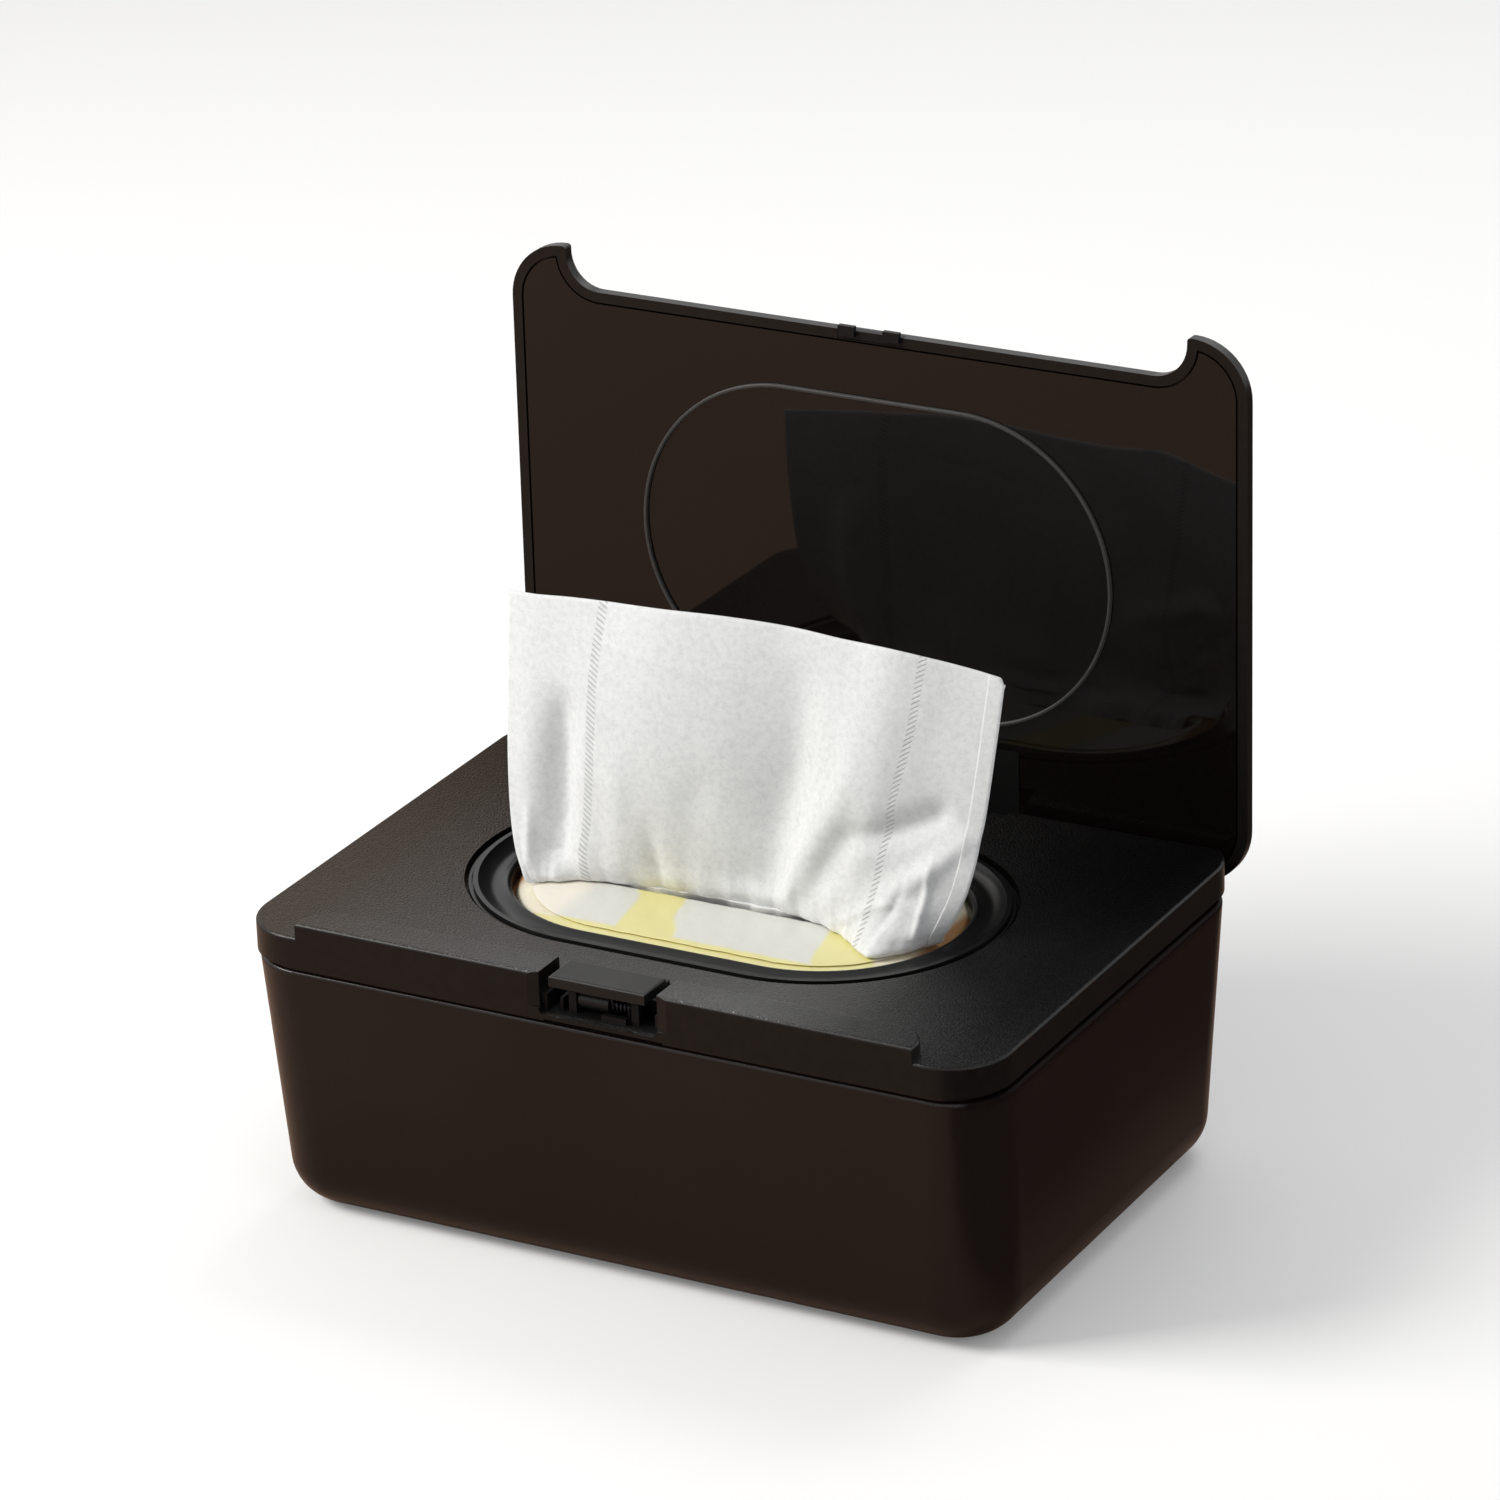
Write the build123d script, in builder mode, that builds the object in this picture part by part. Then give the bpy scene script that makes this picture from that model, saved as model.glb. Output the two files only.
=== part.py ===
from build123d import *
import os
from math import cos, pi, radians, sin

# Wipes dispenser: a drafted tub, a lift-off cover with a ledge along its front,
# a ring round the wipes' opening, a sprung lid held by a push-button latch,
# and a refill pouch of wipes inside. All lengths are in millimetres.
# The origin is the middle of the tub's underside. +X is to the right,
# +Y to the hinge at the back and +Z up. The lid is modelled standing open.

os.makedirs("parts", exist_ok=True)

# Cover: footprint, heights and walls
cover_length = 200.0
cover_depth = 142.0
corner_radius = 15.2
cover_height = 7.9
cover_wall = 2.0
deck_thickness = 2.2
deck_edge_radius = 0.9
back_edge_radius = 6.2
rail_depth = 5.0
rail_height = 2.0
cut_margin = 8.0

# Tub
tub_height = 67.1
seam_gap = 1.6
tub_side_step = 0.2
tub_front_step = 1.4
tub_side_draft = 2.5
tub_front_draft = 4.8
tub_base_corner = 16.5
tub_edge_radius = 12.0
tub_wall = 2.8
tub_floor = 2.5
rim_edge_radius = 1.2
tongue_wall = 1.8
tongue_height = 3.6
tongue_root = 4.0
tongue_clearance = 0.3

# Ledge along the front of the deck, with the window below the button
ledge_end_inset = 17.8
ledge_depth = 10.5
ledge_height = 3.7
ledge_corner_radius = 8.0
ledge_wall = 2.0
ledge_edge_radius = 0.9
window_width = 31.5
window_sill = 1.0
window_corner_radius = 1.6
window_bevel_width = 2.8
window_bevel_depth = 0.7

# Opening in the deck and the ring that lines it
opening_straight = 47.6
opening_shift = -0.7
ring_inner_radius = 34.5
ring_outer_radius = 44.9
ring_gap = 1.0
ring_recess = 0.1
ring_flange = 2.3
ring_rim_width = 0.7
ring_rim_drop = 0.9
ring_groove_width = 0.4
ring_groove_depth = 1.5
ring_flat_width = 1.2
ring_dish_depth = 1.3
ring_dish_sag = 1.35
ring_lip_width = 1.2
ring_lip_drop = 0.8
ring_lip_swell = 0.25
shelf_width = 4.0
shelf_thickness = 2.2
shelf_wall = 2.6
shelf_clearance = 0.3

# Hinge of the lid
hinge_inset = 5.95
hinge_drop = 6.3
hinge_offset = 31.7
pin_radius = 1.0
bore_clearance = 0.05
knuckle_radius = 2.6
arm_width = 14.0
arm_plate_reach = 20.0
arm_plate_thickness = 1.1
arm_plate_gap = 0.25
cheek_width = 4.0
cheek_drop = 0.8
pocket_clearance = 0.35
lid_open_angle = 90.5

# Lid
lid_side_overhang = 0.3
lid_thickness = 3.7
lid_face_gap = 0.2
lid_back_inset = 0.25
lid_ledge_gap = 2.4
lid_ear_inset = 2.2
lid_ear_gap = 2.4
lid_corner_radius = 14.7
ear_cut_radius = 9.0
ear_tip_radius = 0.9
lid_skin = 1.8
lid_rim_width = 2.6
lid_groove_width = 0.5
liner_recess = 0.1
lid_edge_radius = 1.0

# Seal bead under the lid
bead_inset = 4.6
bead_width = 0.9
bead_stand_out = 0.9
bead_seat_depth = 0.6
bead_edge_radius = 0.3

# Latch: catch on the lid, push button on the cover
catch_width = 18.0
catch_depth = 2.4
catch_tooth_width = 4.4
catch_tooth_spacing = 12.2
catch_tooth_thickness = 1.4
catch_engagement = 0.7
catch_room = 4.3
latch_clearance = 0.3
button_side_gap = 2.95
button_thickness = 2.7
button_drop = 0.2
button_edge_radius = 0.6
button_front_gap = 0.1
lip_thickness = 1.5
lip_lid_gap = 0.6
button_pin_inset = 5.8
button_pin_drop = 4.2
button_pin_radius = 1.0
button_knuckle_radius = 2.2
button_knuckle_width = 8.0
button_web_thickness = 2.8
bracket_wall = 1.2
bracket_clearance = 0.15
bracket_floor_rise = 0.3
bracket_cheek_thickness = 2.0
bracket_cheek_gap = 0.3
bracket_cheek_length = 5.0
bracket_back_gap = 0.2
bracket_rib_offset = 11.6
bracket_rib_width = 0.8
bracket_rib_depth = 4.0
bracket_rib_height = 3.0
bracket_block_width = 6.5
bracket_block_depth = 1.6
bracket_block_height = 1.5

# Springs, wound from round wire
spring_gap = 0.8
lid_spring_wire = 0.7
lid_spring_radius = 1.75
lid_spring_pitch = 1.25
lid_spring_turns = 3.25
lid_spring_leg = 4.0
button_spring_wire = 0.6
button_spring_radius = 1.65
button_spring_pitch = 1.05
button_spring_turns = 4
button_spring_leg = 3.0

# Refill pouch, its label and the stack of wipes
pouch_end_gap = 5.4
pouch_front_gap = 8.7
pouch_top_gap = 1.2
pouch_corner_radius = 14.0
pouch_edge_radius = 9.0
pouch_film = 0.6
pouch_bulge_height = 3.2
pouch_bulge_gap = 0.8
pouch_bulge_edge = 2.4
pouch_slot_radius = 10.0
pouch_fin_gap = 1.4
pouch_fin_thickness = 1.2
pouch_fin_inset = 12.0
pouch_fin_height = 30.0
label_thickness = 0.35
label_margin = 4.2
label_slot_margin = 1.3
stack_clearance = 0.9
stack_headroom = 2.0

# The wipe that stands out of the opening
wipe_thickness = 0.8
wipe_spans = 7
wipe_tuck = 5.1
wipe_foot_inset = 10.0
wipe_slot_gap = 1.7
wipe_ring_gap = 1.8
wipe_rise = 72.5
wipe_arch = 3.9

# Places worked out from the sizes above
cover_bottom = tub_height + seam_gap
deck_top = cover_bottom + cover_height
deck_under = deck_top - deck_thickness
ledge_top = deck_top + ledge_height
cover_front = -cover_depth / 2
cover_back = cover_depth / 2
ledge_back = cover_front + ledge_depth
ledge_length = cover_length - 2 * ledge_end_inset
skirt_inner_front = cover_front + cover_wall
skirt_inner_back = cover_back - cover_wall
hinge_y = cover_back - hinge_inset
hinge_z = deck_top - hinge_drop
sill_height = cover_bottom + window_sill
button_top = ledge_top - button_drop
button_under = button_top - button_thickness


def stadium(radius, straight=opening_straight, mode=Mode.ADD):
    """Slot outline with round ends of the given radius about the opening's ends."""
    return SlotOverall(straight + 2 * radius, 2 * radius, mode=mode)


def stadium_path(radius):
    """Closed path of lines and half circles about the opening's ends, on the workplane."""
    half = opening_straight / 2
    Line((-half, -radius), (half, -radius))
    ThreePointArc((half, -radius), (half + radius, 0), (half, radius))
    Line((half, radius), (-half, radius))
    ThreePointArc((-half, radius), (-half - radius, 0), (-half, -radius))


# Tub: a drafted box with a rounded lower edge, hollow, with a locating tongue on its rim
rim_length = cover_length + 2 * tub_side_step
rim_depth = cover_depth - 2 * tub_front_step
base_length = rim_length - 2 * tub_side_draft
base_depth = rim_depth - 2 * tub_front_draft
floor_share = tub_floor / tub_height
inside_length = base_length + 2 * tub_side_draft * floor_share - 2 * tub_wall
inside_depth = base_depth + 2 * tub_front_draft * floor_share - 2 * tub_wall
tongue_length = cover_length - 2 * (cover_wall + tongue_clearance)
tongue_depth = cover_depth - 2 * (cover_wall + tongue_clearance)
tongue_corner = corner_radius - cover_wall - tongue_clearance

with BuildPart() as tub_hollow:
    with BuildSketch(Plane.XY.offset(tub_floor)):
        RectangleRounded(inside_length, inside_depth, tub_base_corner - tub_wall)
    with BuildSketch(Plane.XY.offset(tub_height)):
        RectangleRounded(
            rim_length - 2 * tub_wall, rim_depth - 2 * tub_wall, corner_radius - tub_wall
        )
    loft()
    floor_edges = tub_hollow.faces().sort_by(Axis.Z)[0].edges()
    fillet(floor_edges, tub_edge_radius - tub_wall)

hinge_notch_width = arm_width + 2 * (pocket_clearance + cheek_width + tongue_clearance)
bracket_width = window_width - 2 * bracket_clearance
with BuildPart() as tub:
    with BuildSketch():
        RectangleRounded(base_length, base_depth, tub_base_corner)
    with BuildSketch(Plane.XY.offset(tub_height)):
        RectangleRounded(rim_length, rim_depth, corner_radius)
    loft()
    fillet(tub.faces().sort_by(Axis.Z)[0].edges(), tub_edge_radius)
    fillet(tub.faces().sort_by(Axis.Z)[-1].edges(), rim_edge_radius)
    add(tub_hollow.part, mode=Mode.SUBTRACT)
    with BuildSketch(Plane.XY.offset(tub_height - tongue_root)):
        RectangleRounded(tongue_length, tongue_depth, tongue_corner)
        offset(amount=-tongue_wall, mode=Mode.SUBTRACT)
    extrude(amount=tongue_root + tongue_height)
    with BuildSketch(Plane.XY.offset(tub_height)):
        with Locations((0, cover_front)):
            Rectangle(bracket_width + 2 * tongue_clearance, 2 * cut_margin)
        with Locations((-hinge_offset, cover_back), (hinge_offset, cover_back)):
            Rectangle(hinge_notch_width, 2 * cut_margin)
    extrude(amount=tongue_height, mode=Mode.SUBTRACT)
tub.part.label = "tub"
export_step(tub.part, "parts/tub.step")

# Ledge: a bar along the front of the deck, its back corners rounded in plan
with BuildPart() as ledge:
    with BuildSketch(Plane.XY.offset(deck_under)):
        with Locations((0, cover_front)):
            ledge_shape = Rectangle(ledge_length, ledge_depth, align=(Align.CENTER, Align.MIN))
        fillet(ledge_shape.vertices().group_by(Axis.Y)[-1], ledge_corner_radius)
    extrude(amount=ledge_top - deck_under)
    fillet(ledge.faces().sort_by(Axis.Z)[-1].edges(), ledge_edge_radius)

# Cover frame: skirt and deck, window, shelf for the ring, hinge pockets and cheeks
pocket_width = arm_width + 2 * pocket_clearance
pocket_front = hinge_y - knuckle_radius - pocket_clearance
pocket_depth = cover_back - pocket_front + cut_margin
cheek_reach = pocket_width / 2 + cheek_width
cheek_bottom = cover_bottom - cheek_drop
shelf_radius = ring_outer_radius - shelf_width
ring_seat = deck_top - ring_recess - ring_flange
shelf_bottom = ring_seat - shelf_thickness
window_half = window_width / 2
window_back = ledge_back + catch_room

with BuildPart() as cover_frame:
    # Skirt and deck
    with BuildSketch(Plane.XY.offset(cover_bottom)):
        RectangleRounded(cover_length, cover_depth, corner_radius)
    extrude(amount=cover_height)
    fillet(cover_frame.faces().sort_by(Axis.Z)[-1].edges(), deck_edge_radius)
    # Rounding of the back edge, which the lid's inner face rolls round
    with BuildSketch(Plane.YZ.offset(-cover_length)):
        with Locations((cover_back - back_edge_radius, deck_top - back_edge_radius)):
            Rectangle(2 * back_edge_radius, 2 * back_edge_radius, align=(Align.MIN, Align.MIN))
            Circle(back_edge_radius, mode=Mode.SUBTRACT)
    extrude(amount=2 * cover_length, mode=Mode.SUBTRACT)
    # Hollow underside, stepped at the back to leave the rail
    with BuildSketch(Plane.XY.offset(cover_bottom)):
        RectangleRounded(
            cover_length - 2 * cover_wall, cover_depth - 2 * cover_wall, corner_radius - cover_wall
        )
    extrude(amount=cover_height - deck_thickness - rail_height, mode=Mode.SUBTRACT)
    with BuildSketch(Plane.XY.offset(cover_bottom)):
        RectangleRounded(
            cover_length - 2 * cover_wall, cover_depth - 2 * cover_wall, corner_radius - cover_wall
        )
        with Locations((0, skirt_inner_back)):
            Rectangle(cover_length, 2 * rail_depth, mode=Mode.SUBTRACT)
    extrude(amount=cover_height - deck_thickness, mode=Mode.SUBTRACT)
    # Ledge, hollow either side of the window
    add(ledge.part)
    with BuildSketch(Plane.XY.offset(deck_under)):
        with Locations((0, skirt_inner_front)):
            Rectangle(
                ledge_length - 2 * ledge_corner_radius,
                ledge_depth - cover_wall - ledge_wall,
                align=(Align.CENTER, Align.MIN),
            )
        with Locations((0, cover_front)):
            Rectangle(window_width + 2 * ledge_wall, 2 * ledge_depth, mode=Mode.SUBTRACT)
    extrude(amount=ledge_top - ledge_wall - deck_under, mode=Mode.SUBTRACT)
    # Shelf under the opening
    with BuildSketch(Plane.XY.offset(shelf_bottom)):
        with Locations((0, opening_shift)):
            stadium(ring_outer_radius + shelf_wall)
    extrude(amount=deck_under - shelf_bottom)
    with BuildSketch(Plane.XY.offset(ring_seat)):
        with Locations((0, opening_shift)):
            stadium(ring_outer_radius + ring_gap)
    extrude(amount=deck_top - ring_seat, mode=Mode.SUBTRACT)
    with BuildSketch(Plane.XY.offset(shelf_bottom)):
        with Locations((0, opening_shift)):
            stadium(shelf_radius)
    extrude(amount=deck_top - shelf_bottom, mode=Mode.SUBTRACT)
    # Window through the front and the ledge, with room for the catch behind the ledge
    with BuildSketch(Plane.XZ.offset(-window_back)):
        with Locations((0, sill_height)):
            window_shape = Rectangle(
                window_width, ledge_top + cut_margin - sill_height, align=(Align.CENTER, Align.MIN)
            )
        fillet(window_shape.vertices().group_by(Axis.Y)[0], window_corner_radius)
    extrude(amount=window_back - cover_front + cut_margin, mode=Mode.SUBTRACT)
    # Bevels at the window's sides
    with BuildSketch(Plane.XY.offset(sill_height + window_corner_radius)):
        with BuildLine():
            Polyline(
                (-window_half - window_bevel_width, cover_front),
                (-window_half, cover_front + window_bevel_depth),
                (window_half, cover_front + window_bevel_depth),
                (window_half + window_bevel_width, cover_front),
                close=True,
            )
        make_face()
    extrude(amount=ledge_top - sill_height, mode=Mode.SUBTRACT)
    # Hinge cheeks
    with BuildSketch(Plane.XY.offset(cheek_bottom)):
        with Locations((-hinge_offset, skirt_inner_back), (hinge_offset, skirt_inner_back)):
            Rectangle(2 * cheek_reach, skirt_inner_back - pocket_front, align=(Align.CENTER, Align.MAX))
    extrude(amount=deck_under - cheek_bottom)
    # Hinge pockets
    with BuildSketch(Plane.XY.offset(cheek_bottom)):
        with Locations((-hinge_offset, pocket_front), (hinge_offset, pocket_front)):
            Rectangle(pocket_width, pocket_depth, align=(Align.CENTER, Align.MIN))
    extrude(amount=deck_top - cheek_bottom, mode=Mode.SUBTRACT)
    # Holes for the hinge pins
    with BuildSketch(Plane.YZ):
        with Locations((hinge_y, hinge_z)):
            Circle(pin_radius)
    extrude(amount=hinge_offset + cheek_reach, both=True, mode=Mode.SUBTRACT)
cover_frame.part.label = "cover_frame"
export_step(cover_frame.part, "parts/cover_frame.step")

# Ring that lines the opening: a dished section with a low rim and a groove, carried round the stadium
ring_top = deck_top - ring_recess
ring_bottom = shelf_bottom - shelf_clearance
ring_tail = shelf_radius - shelf_clearance - ring_inner_radius
ring_width = ring_outer_radius - ring_inner_radius
groove_outer = ring_width - ring_rim_width
groove_inner = groove_outer - ring_groove_width
ring_plane = Plane(
    origin=(-opening_straight / 2, opening_shift - ring_inner_radius, 0),
    x_dir=(0, -1, 0),
    z_dir=(-1, 0, 0),
)
with BuildPart() as opening_ring:
    with BuildLine(Plane((0, opening_shift, 0))) as ring_line:
        stadium_path(ring_inner_radius)
    with BuildSketch(ring_plane):
        with BuildLine():
            Polyline(
                (0, ring_top - ring_dish_depth - ring_lip_drop),
                (0, ring_bottom),
                (ring_tail, ring_bottom),
                (ring_tail, ring_seat),
                (ring_width, ring_seat),
                (ring_width, ring_top - ring_rim_drop),
                (groove_outer, ring_top - ring_rim_drop),
                (groove_outer, ring_top - ring_groove_depth),
                (groove_inner, ring_top - ring_groove_depth),
                (groove_inner, ring_top),
                (groove_inner - ring_flat_width, ring_top),
            )
            SagittaArc(
                (groove_inner - ring_flat_width, ring_top),
                (ring_lip_width, ring_top - ring_dish_depth),
                ring_dish_sag,
            )
            SagittaArc(
                (ring_lip_width, ring_top - ring_dish_depth),
                (0, ring_top - ring_dish_depth - ring_lip_drop),
                -ring_lip_swell,
            )
        make_face()
    sweep(path=ring_line.wires()[0])
opening_ring.part.label = "opening_ring"
export_step(opening_ring.part, "parts/opening_ring.step")

# Lid: its plane lies on the hinge axis, local Y runs to the free edge, local Z out of the back
lid_lean = radians(lid_open_angle - 90)
lid_plane = Plane(
    origin=(0, hinge_y, hinge_z), x_dir=(-1, 0, 0), z_dir=(0, cos(lid_lean), -sin(lid_lean))
)
lid_face = hinge_drop + lid_face_gap
lid_outer = lid_face + lid_thickness
lid_width = cover_length + 2 * lid_side_overhang
lid_back_reach = cover_back - lid_back_inset - hinge_y
lid_front_reach = hinge_y - ledge_back - lid_ledge_gap
lid_ear_reach = hinge_y - cover_front - lid_ear_inset
ear_cut_offset = ledge_length / 2 + lid_ear_gap - ear_cut_radius
ear_top_length = lid_width / 2 - lid_corner_radius - ear_cut_offset - ear_cut_radius
ear_side_length = lid_ear_reach - lid_front_reach - ear_cut_radius
liner_face = lid_face + liner_recess
liner_back = lid_outer - lid_skin
liner_inset = lid_rim_width + lid_groove_width


def lid_outline(inset):
    """Outline of the lid, drawn in by an inset: a rounded rectangle with ears at its front corners."""
    half_width = lid_width / 2 - inset
    reach = lid_ear_reach - inset
    cut_radius = ear_cut_radius + inset
    cut_height = lid_front_reach + ear_cut_radius
    cut_places = [(-ear_cut_offset, cut_height), (ear_cut_offset, cut_height)]
    with Locations((0, (reach - lid_back_reach + inset) / 2)):
        outline = Rectangle(2 * half_width, reach + lid_back_reach - inset)
    fillet(outline.vertices(), lid_corner_radius - inset)
    with Locations((0, cut_height - cut_radius)):
        Rectangle(
            2 * ear_cut_offset,
            cut_radius + cut_margin,
            align=(Align.CENTER, Align.MIN),
            mode=Mode.SUBTRACT,
        )
    with Locations((0, cut_height)):
        Rectangle(
            2 * (ear_cut_offset + cut_radius),
            cut_margin,
            align=(Align.CENTER, Align.MIN),
            mode=Mode.SUBTRACT,
        )
    with Locations(*cut_places):
        Circle(cut_radius, mode=Mode.SUBTRACT)


def ear_tips(corners):
    """The two corners where the ears' tops meet the sides of the cuts."""
    return corners.group_by(Axis.Y)[-1].sort_by(lambda corner: abs(corner.X))[:2]


with BuildSketch() as outer_outline:
    lid_outline(0)
    fillet(ear_tips(outer_outline.vertices()), min(ear_tip_radius, ear_top_length, ear_side_length))
with BuildSketch() as rim_outline:
    lid_outline(lid_rim_width)
with BuildSketch() as liner_outline:
    lid_outline(liner_inset)

catch_back = lid_front_reach - catch_depth
with BuildPart() as lid_shell:
    with BuildSketch(lid_plane.offset(lid_face)):
        add(outer_outline.sketch)
    extrude(amount=lid_thickness)
    fillet(lid_shell.faces().sort_by(Axis.Y)[-1].edges(), lid_edge_radius)
    with BuildSketch(lid_plane.offset(lid_face)):
        add(rim_outline.sketch)
        with Locations((0, catch_back)):
            Rectangle(catch_width, 2 * catch_depth, align=(Align.CENTER, Align.MIN))
    extrude(amount=liner_back - lid_face, mode=Mode.SUBTRACT)
lid_shell.part.label = "lid_shell"
export_step(lid_shell.part, "parts/lid_shell.step")

# Liner: glossy inner panel of the lid, cut out for the hinge arms, the catch and the bead's seat
arm_places = [(-hinge_offset, arm_plate_reach), (hinge_offset, arm_plate_reach)]
bead_radius = ring_outer_radius - bead_inset
bead_reach = hinge_y - opening_shift
bead_outer = bead_radius + bead_width / 2
bead_inner = bead_radius - bead_width / 2
with BuildPart() as lid_liner:
    with BuildSketch(lid_plane.offset(liner_face)):
        add(liner_outline.sketch)
        with Locations((0, catch_back)):
            Rectangle(
                catch_width + 2 * lid_groove_width,
                2 * catch_depth,
                align=(Align.CENTER, Align.MIN),
                mode=Mode.SUBTRACT,
            )
    extrude(amount=liner_back - liner_face)
    with BuildSketch(lid_plane.offset(liner_face)):
        with Locations(*arm_places):
            Rectangle(
                arm_width + 2 * arm_plate_gap,
                2 * (arm_plate_reach + lid_back_reach),
                align=(Align.CENTER, Align.MAX),
            )
    extrude(amount=arm_plate_thickness, mode=Mode.SUBTRACT)
    with BuildSketch(lid_plane.offset(liner_face)):
        with Locations((0, bead_reach)):
            stadium(bead_outer)
            stadium(bead_inner, mode=Mode.SUBTRACT)
    extrude(amount=bead_seat_depth, mode=Mode.SUBTRACT)
lid_liner.part.label = "lid_liner"
export_step(lid_liner.part, "parts/lid_liner.step")

# Seal bead: a stadium of soft rubber pressed into the liner's seat
bead_height = bead_stand_out + bead_seat_depth
with BuildPart() as seal_bead:
    with BuildSketch(lid_plane.offset(liner_face - bead_stand_out)):
        with Locations((0, bead_reach)):
            stadium(bead_outer)
            stadium(bead_inner, mode=Mode.SUBTRACT)
    extrude(amount=bead_height)
    fillet(seal_bead.faces().sort_by(Axis.Y)[0].edges(), bead_edge_radius)
seal_bead.part.label = "seal_bead"
export_step(seal_bead.part, "parts/seal_bead.step")

# Hinge arms: a plate let into the liner, and a web down to a knuckle on the hinge axis
arm_plate_back = lid_back_reach - liner_inset
lid_spring_room = lid_spring_turns * lid_spring_pitch + lid_spring_wire + 2 * spring_gap
knuckle_width = arm_width - lid_spring_room
arm_plate_length = arm_plate_reach + arm_plate_back
knuckle_centre = hinge_offset + lid_spring_room / 2
with BuildPart() as hinge_arm_right:
    with BuildSketch(lid_plane.offset(liner_face)):
        with Locations((-hinge_offset, arm_plate_reach)):
            Rectangle(arm_width, arm_plate_length, align=(Align.CENTER, Align.MAX))
    extrude(amount=arm_plate_thickness)
    with BuildSketch(lid_plane):
        with Locations((-knuckle_centre, 0)):
            Rectangle(knuckle_width, 2 * knuckle_radius)
    extrude(amount=liner_face)
    with BuildSketch(Plane.YZ.offset(knuckle_centre - knuckle_width / 2)):
        with Locations((hinge_y, hinge_z)):
            Circle(knuckle_radius)
    extrude(amount=knuckle_width)
    with BuildSketch(Plane.YZ):
        with Locations((hinge_y, hinge_z)):
            Circle(pin_radius + bore_clearance)
    extrude(amount=hinge_offset + arm_width, mode=Mode.SUBTRACT)
hinge_arm_right.part.label = "hinge_arm_right"
export_step(hinge_arm_right.part, "parts/hinge_arm_right.step")

with BuildPart() as hinge_arm_left:
    mirror(hinge_arm_right.part, about=Plane.YZ)
hinge_arm_left.part.label = "hinge_arm_left"
export_step(hinge_arm_left.part, "parts/hinge_arm_left.step")

# Hinge pins, pressed into the cheeks
with BuildPart() as hinge_pin_right:
    with BuildSketch(Plane.YZ.offset(hinge_offset - cheek_reach)):
        with Locations((hinge_y, hinge_z)):
            Circle(pin_radius)
    extrude(amount=2 * cheek_reach)
hinge_pin_right.part.label = "hinge_pin_right"
export_step(hinge_pin_right.part, "parts/hinge_pin_right.step")

with BuildPart() as hinge_pin_left:
    mirror(hinge_pin_right.part, about=Plane.YZ)
hinge_pin_left.part.label = "hinge_pin_left"
export_step(hinge_pin_left.part, "parts/hinge_pin_left.step")


def spring_path(radius, pitch, turns, leg):
    """A helix about Z from the X axis, with a straight leg at each end along its tangent."""
    coil = Helix(pitch=pitch, height=pitch * turns, radius=radius)
    Line(coil @ 0, coil @ 0 - (coil % 0) * leg)
    Line(coil @ 1, coil @ 1 + (coil % 1) * leg)


def print_spring(name, solid, route, radius, wire):
    """Volume against section times length, and the least gap of the wire to its own next turn."""
    samples = 240
    points = [route @ (step / samples) for step in range(samples + 1)]
    half_turn = int(samples * pi * radius / route.length)
    gaps = [
        (points[first] - points[second]).length - wire
        for first in range(samples + 1)
        for second in range(first + half_turn, samples + 1)
    ]
    section = pi * (wire / 2) ** 2
    print(name, "volume", round(solid.volume, 3), "of", round(section * route.length, 3))
    print(name, "least gap", round(min(gaps), 3))


# Lid springs: torsion springs round the hinge pins, beside the knuckles
spring_start = hinge_offset - pocket_width / 2 + spring_gap + lid_spring_wire / 2
lid_spring_plane = Plane(origin=(spring_start, hinge_y, hinge_z), x_dir=(0, 0, -1), z_dir=(1, 0, 0))
with BuildPart() as lid_spring_right:
    with BuildLine(mode=Mode.PRIVATE) as lid_spring_line:
        spring_path(lid_spring_radius, lid_spring_pitch, lid_spring_turns, lid_spring_leg)
    lid_spring_route = lid_spring_plane.from_local_coords(lid_spring_line.wires()[0])
    with BuildSketch(Plane(origin=lid_spring_route @ 0, z_dir=lid_spring_route % 0)):
        Circle(lid_spring_wire / 2)
    sweep(path=lid_spring_route)
lid_spring_right.part.label = "lid_spring_right"
export_step(lid_spring_right.part, "parts/lid_spring_right.step")
print_spring("lid spring", lid_spring_right.part, lid_spring_route, lid_spring_radius, lid_spring_wire)

with BuildPart() as lid_spring_left:
    mirror(lid_spring_right.part, about=Plane.YZ)
lid_spring_left.part.label = "lid_spring_left"
export_step(lid_spring_left.part, "parts/lid_spring_left.step")

# Catch on the lid's free edge: a block let into the rim, with two teeth that reach under the button's lip
tooth_length = lip_lid_gap + catch_engagement
tooth_half = catch_tooth_spacing / 2
tooth_top = button_under - latch_clearance - hinge_z
catch_length = catch_width - 2 * bracket_clearance
with BuildPart() as lid_catch:
    with BuildSketch(lid_plane.offset(liner_face)):
        with Locations((0, lid_front_reach)):
            Rectangle(catch_length, catch_depth - bracket_clearance, align=(Align.CENTER, Align.MAX))
    extrude(amount=liner_back - liner_face)
    with BuildSketch(lid_plane.offset(tooth_top - catch_tooth_thickness)):
        with Locations((-tooth_half, lid_front_reach), (tooth_half, lid_front_reach)):
            Rectangle(catch_tooth_width, 2 * tooth_length)
    extrude(amount=catch_tooth_thickness)
lid_catch.part.label = "lid_catch"
export_step(lid_catch.part, "parts/lid_catch.step")

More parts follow.
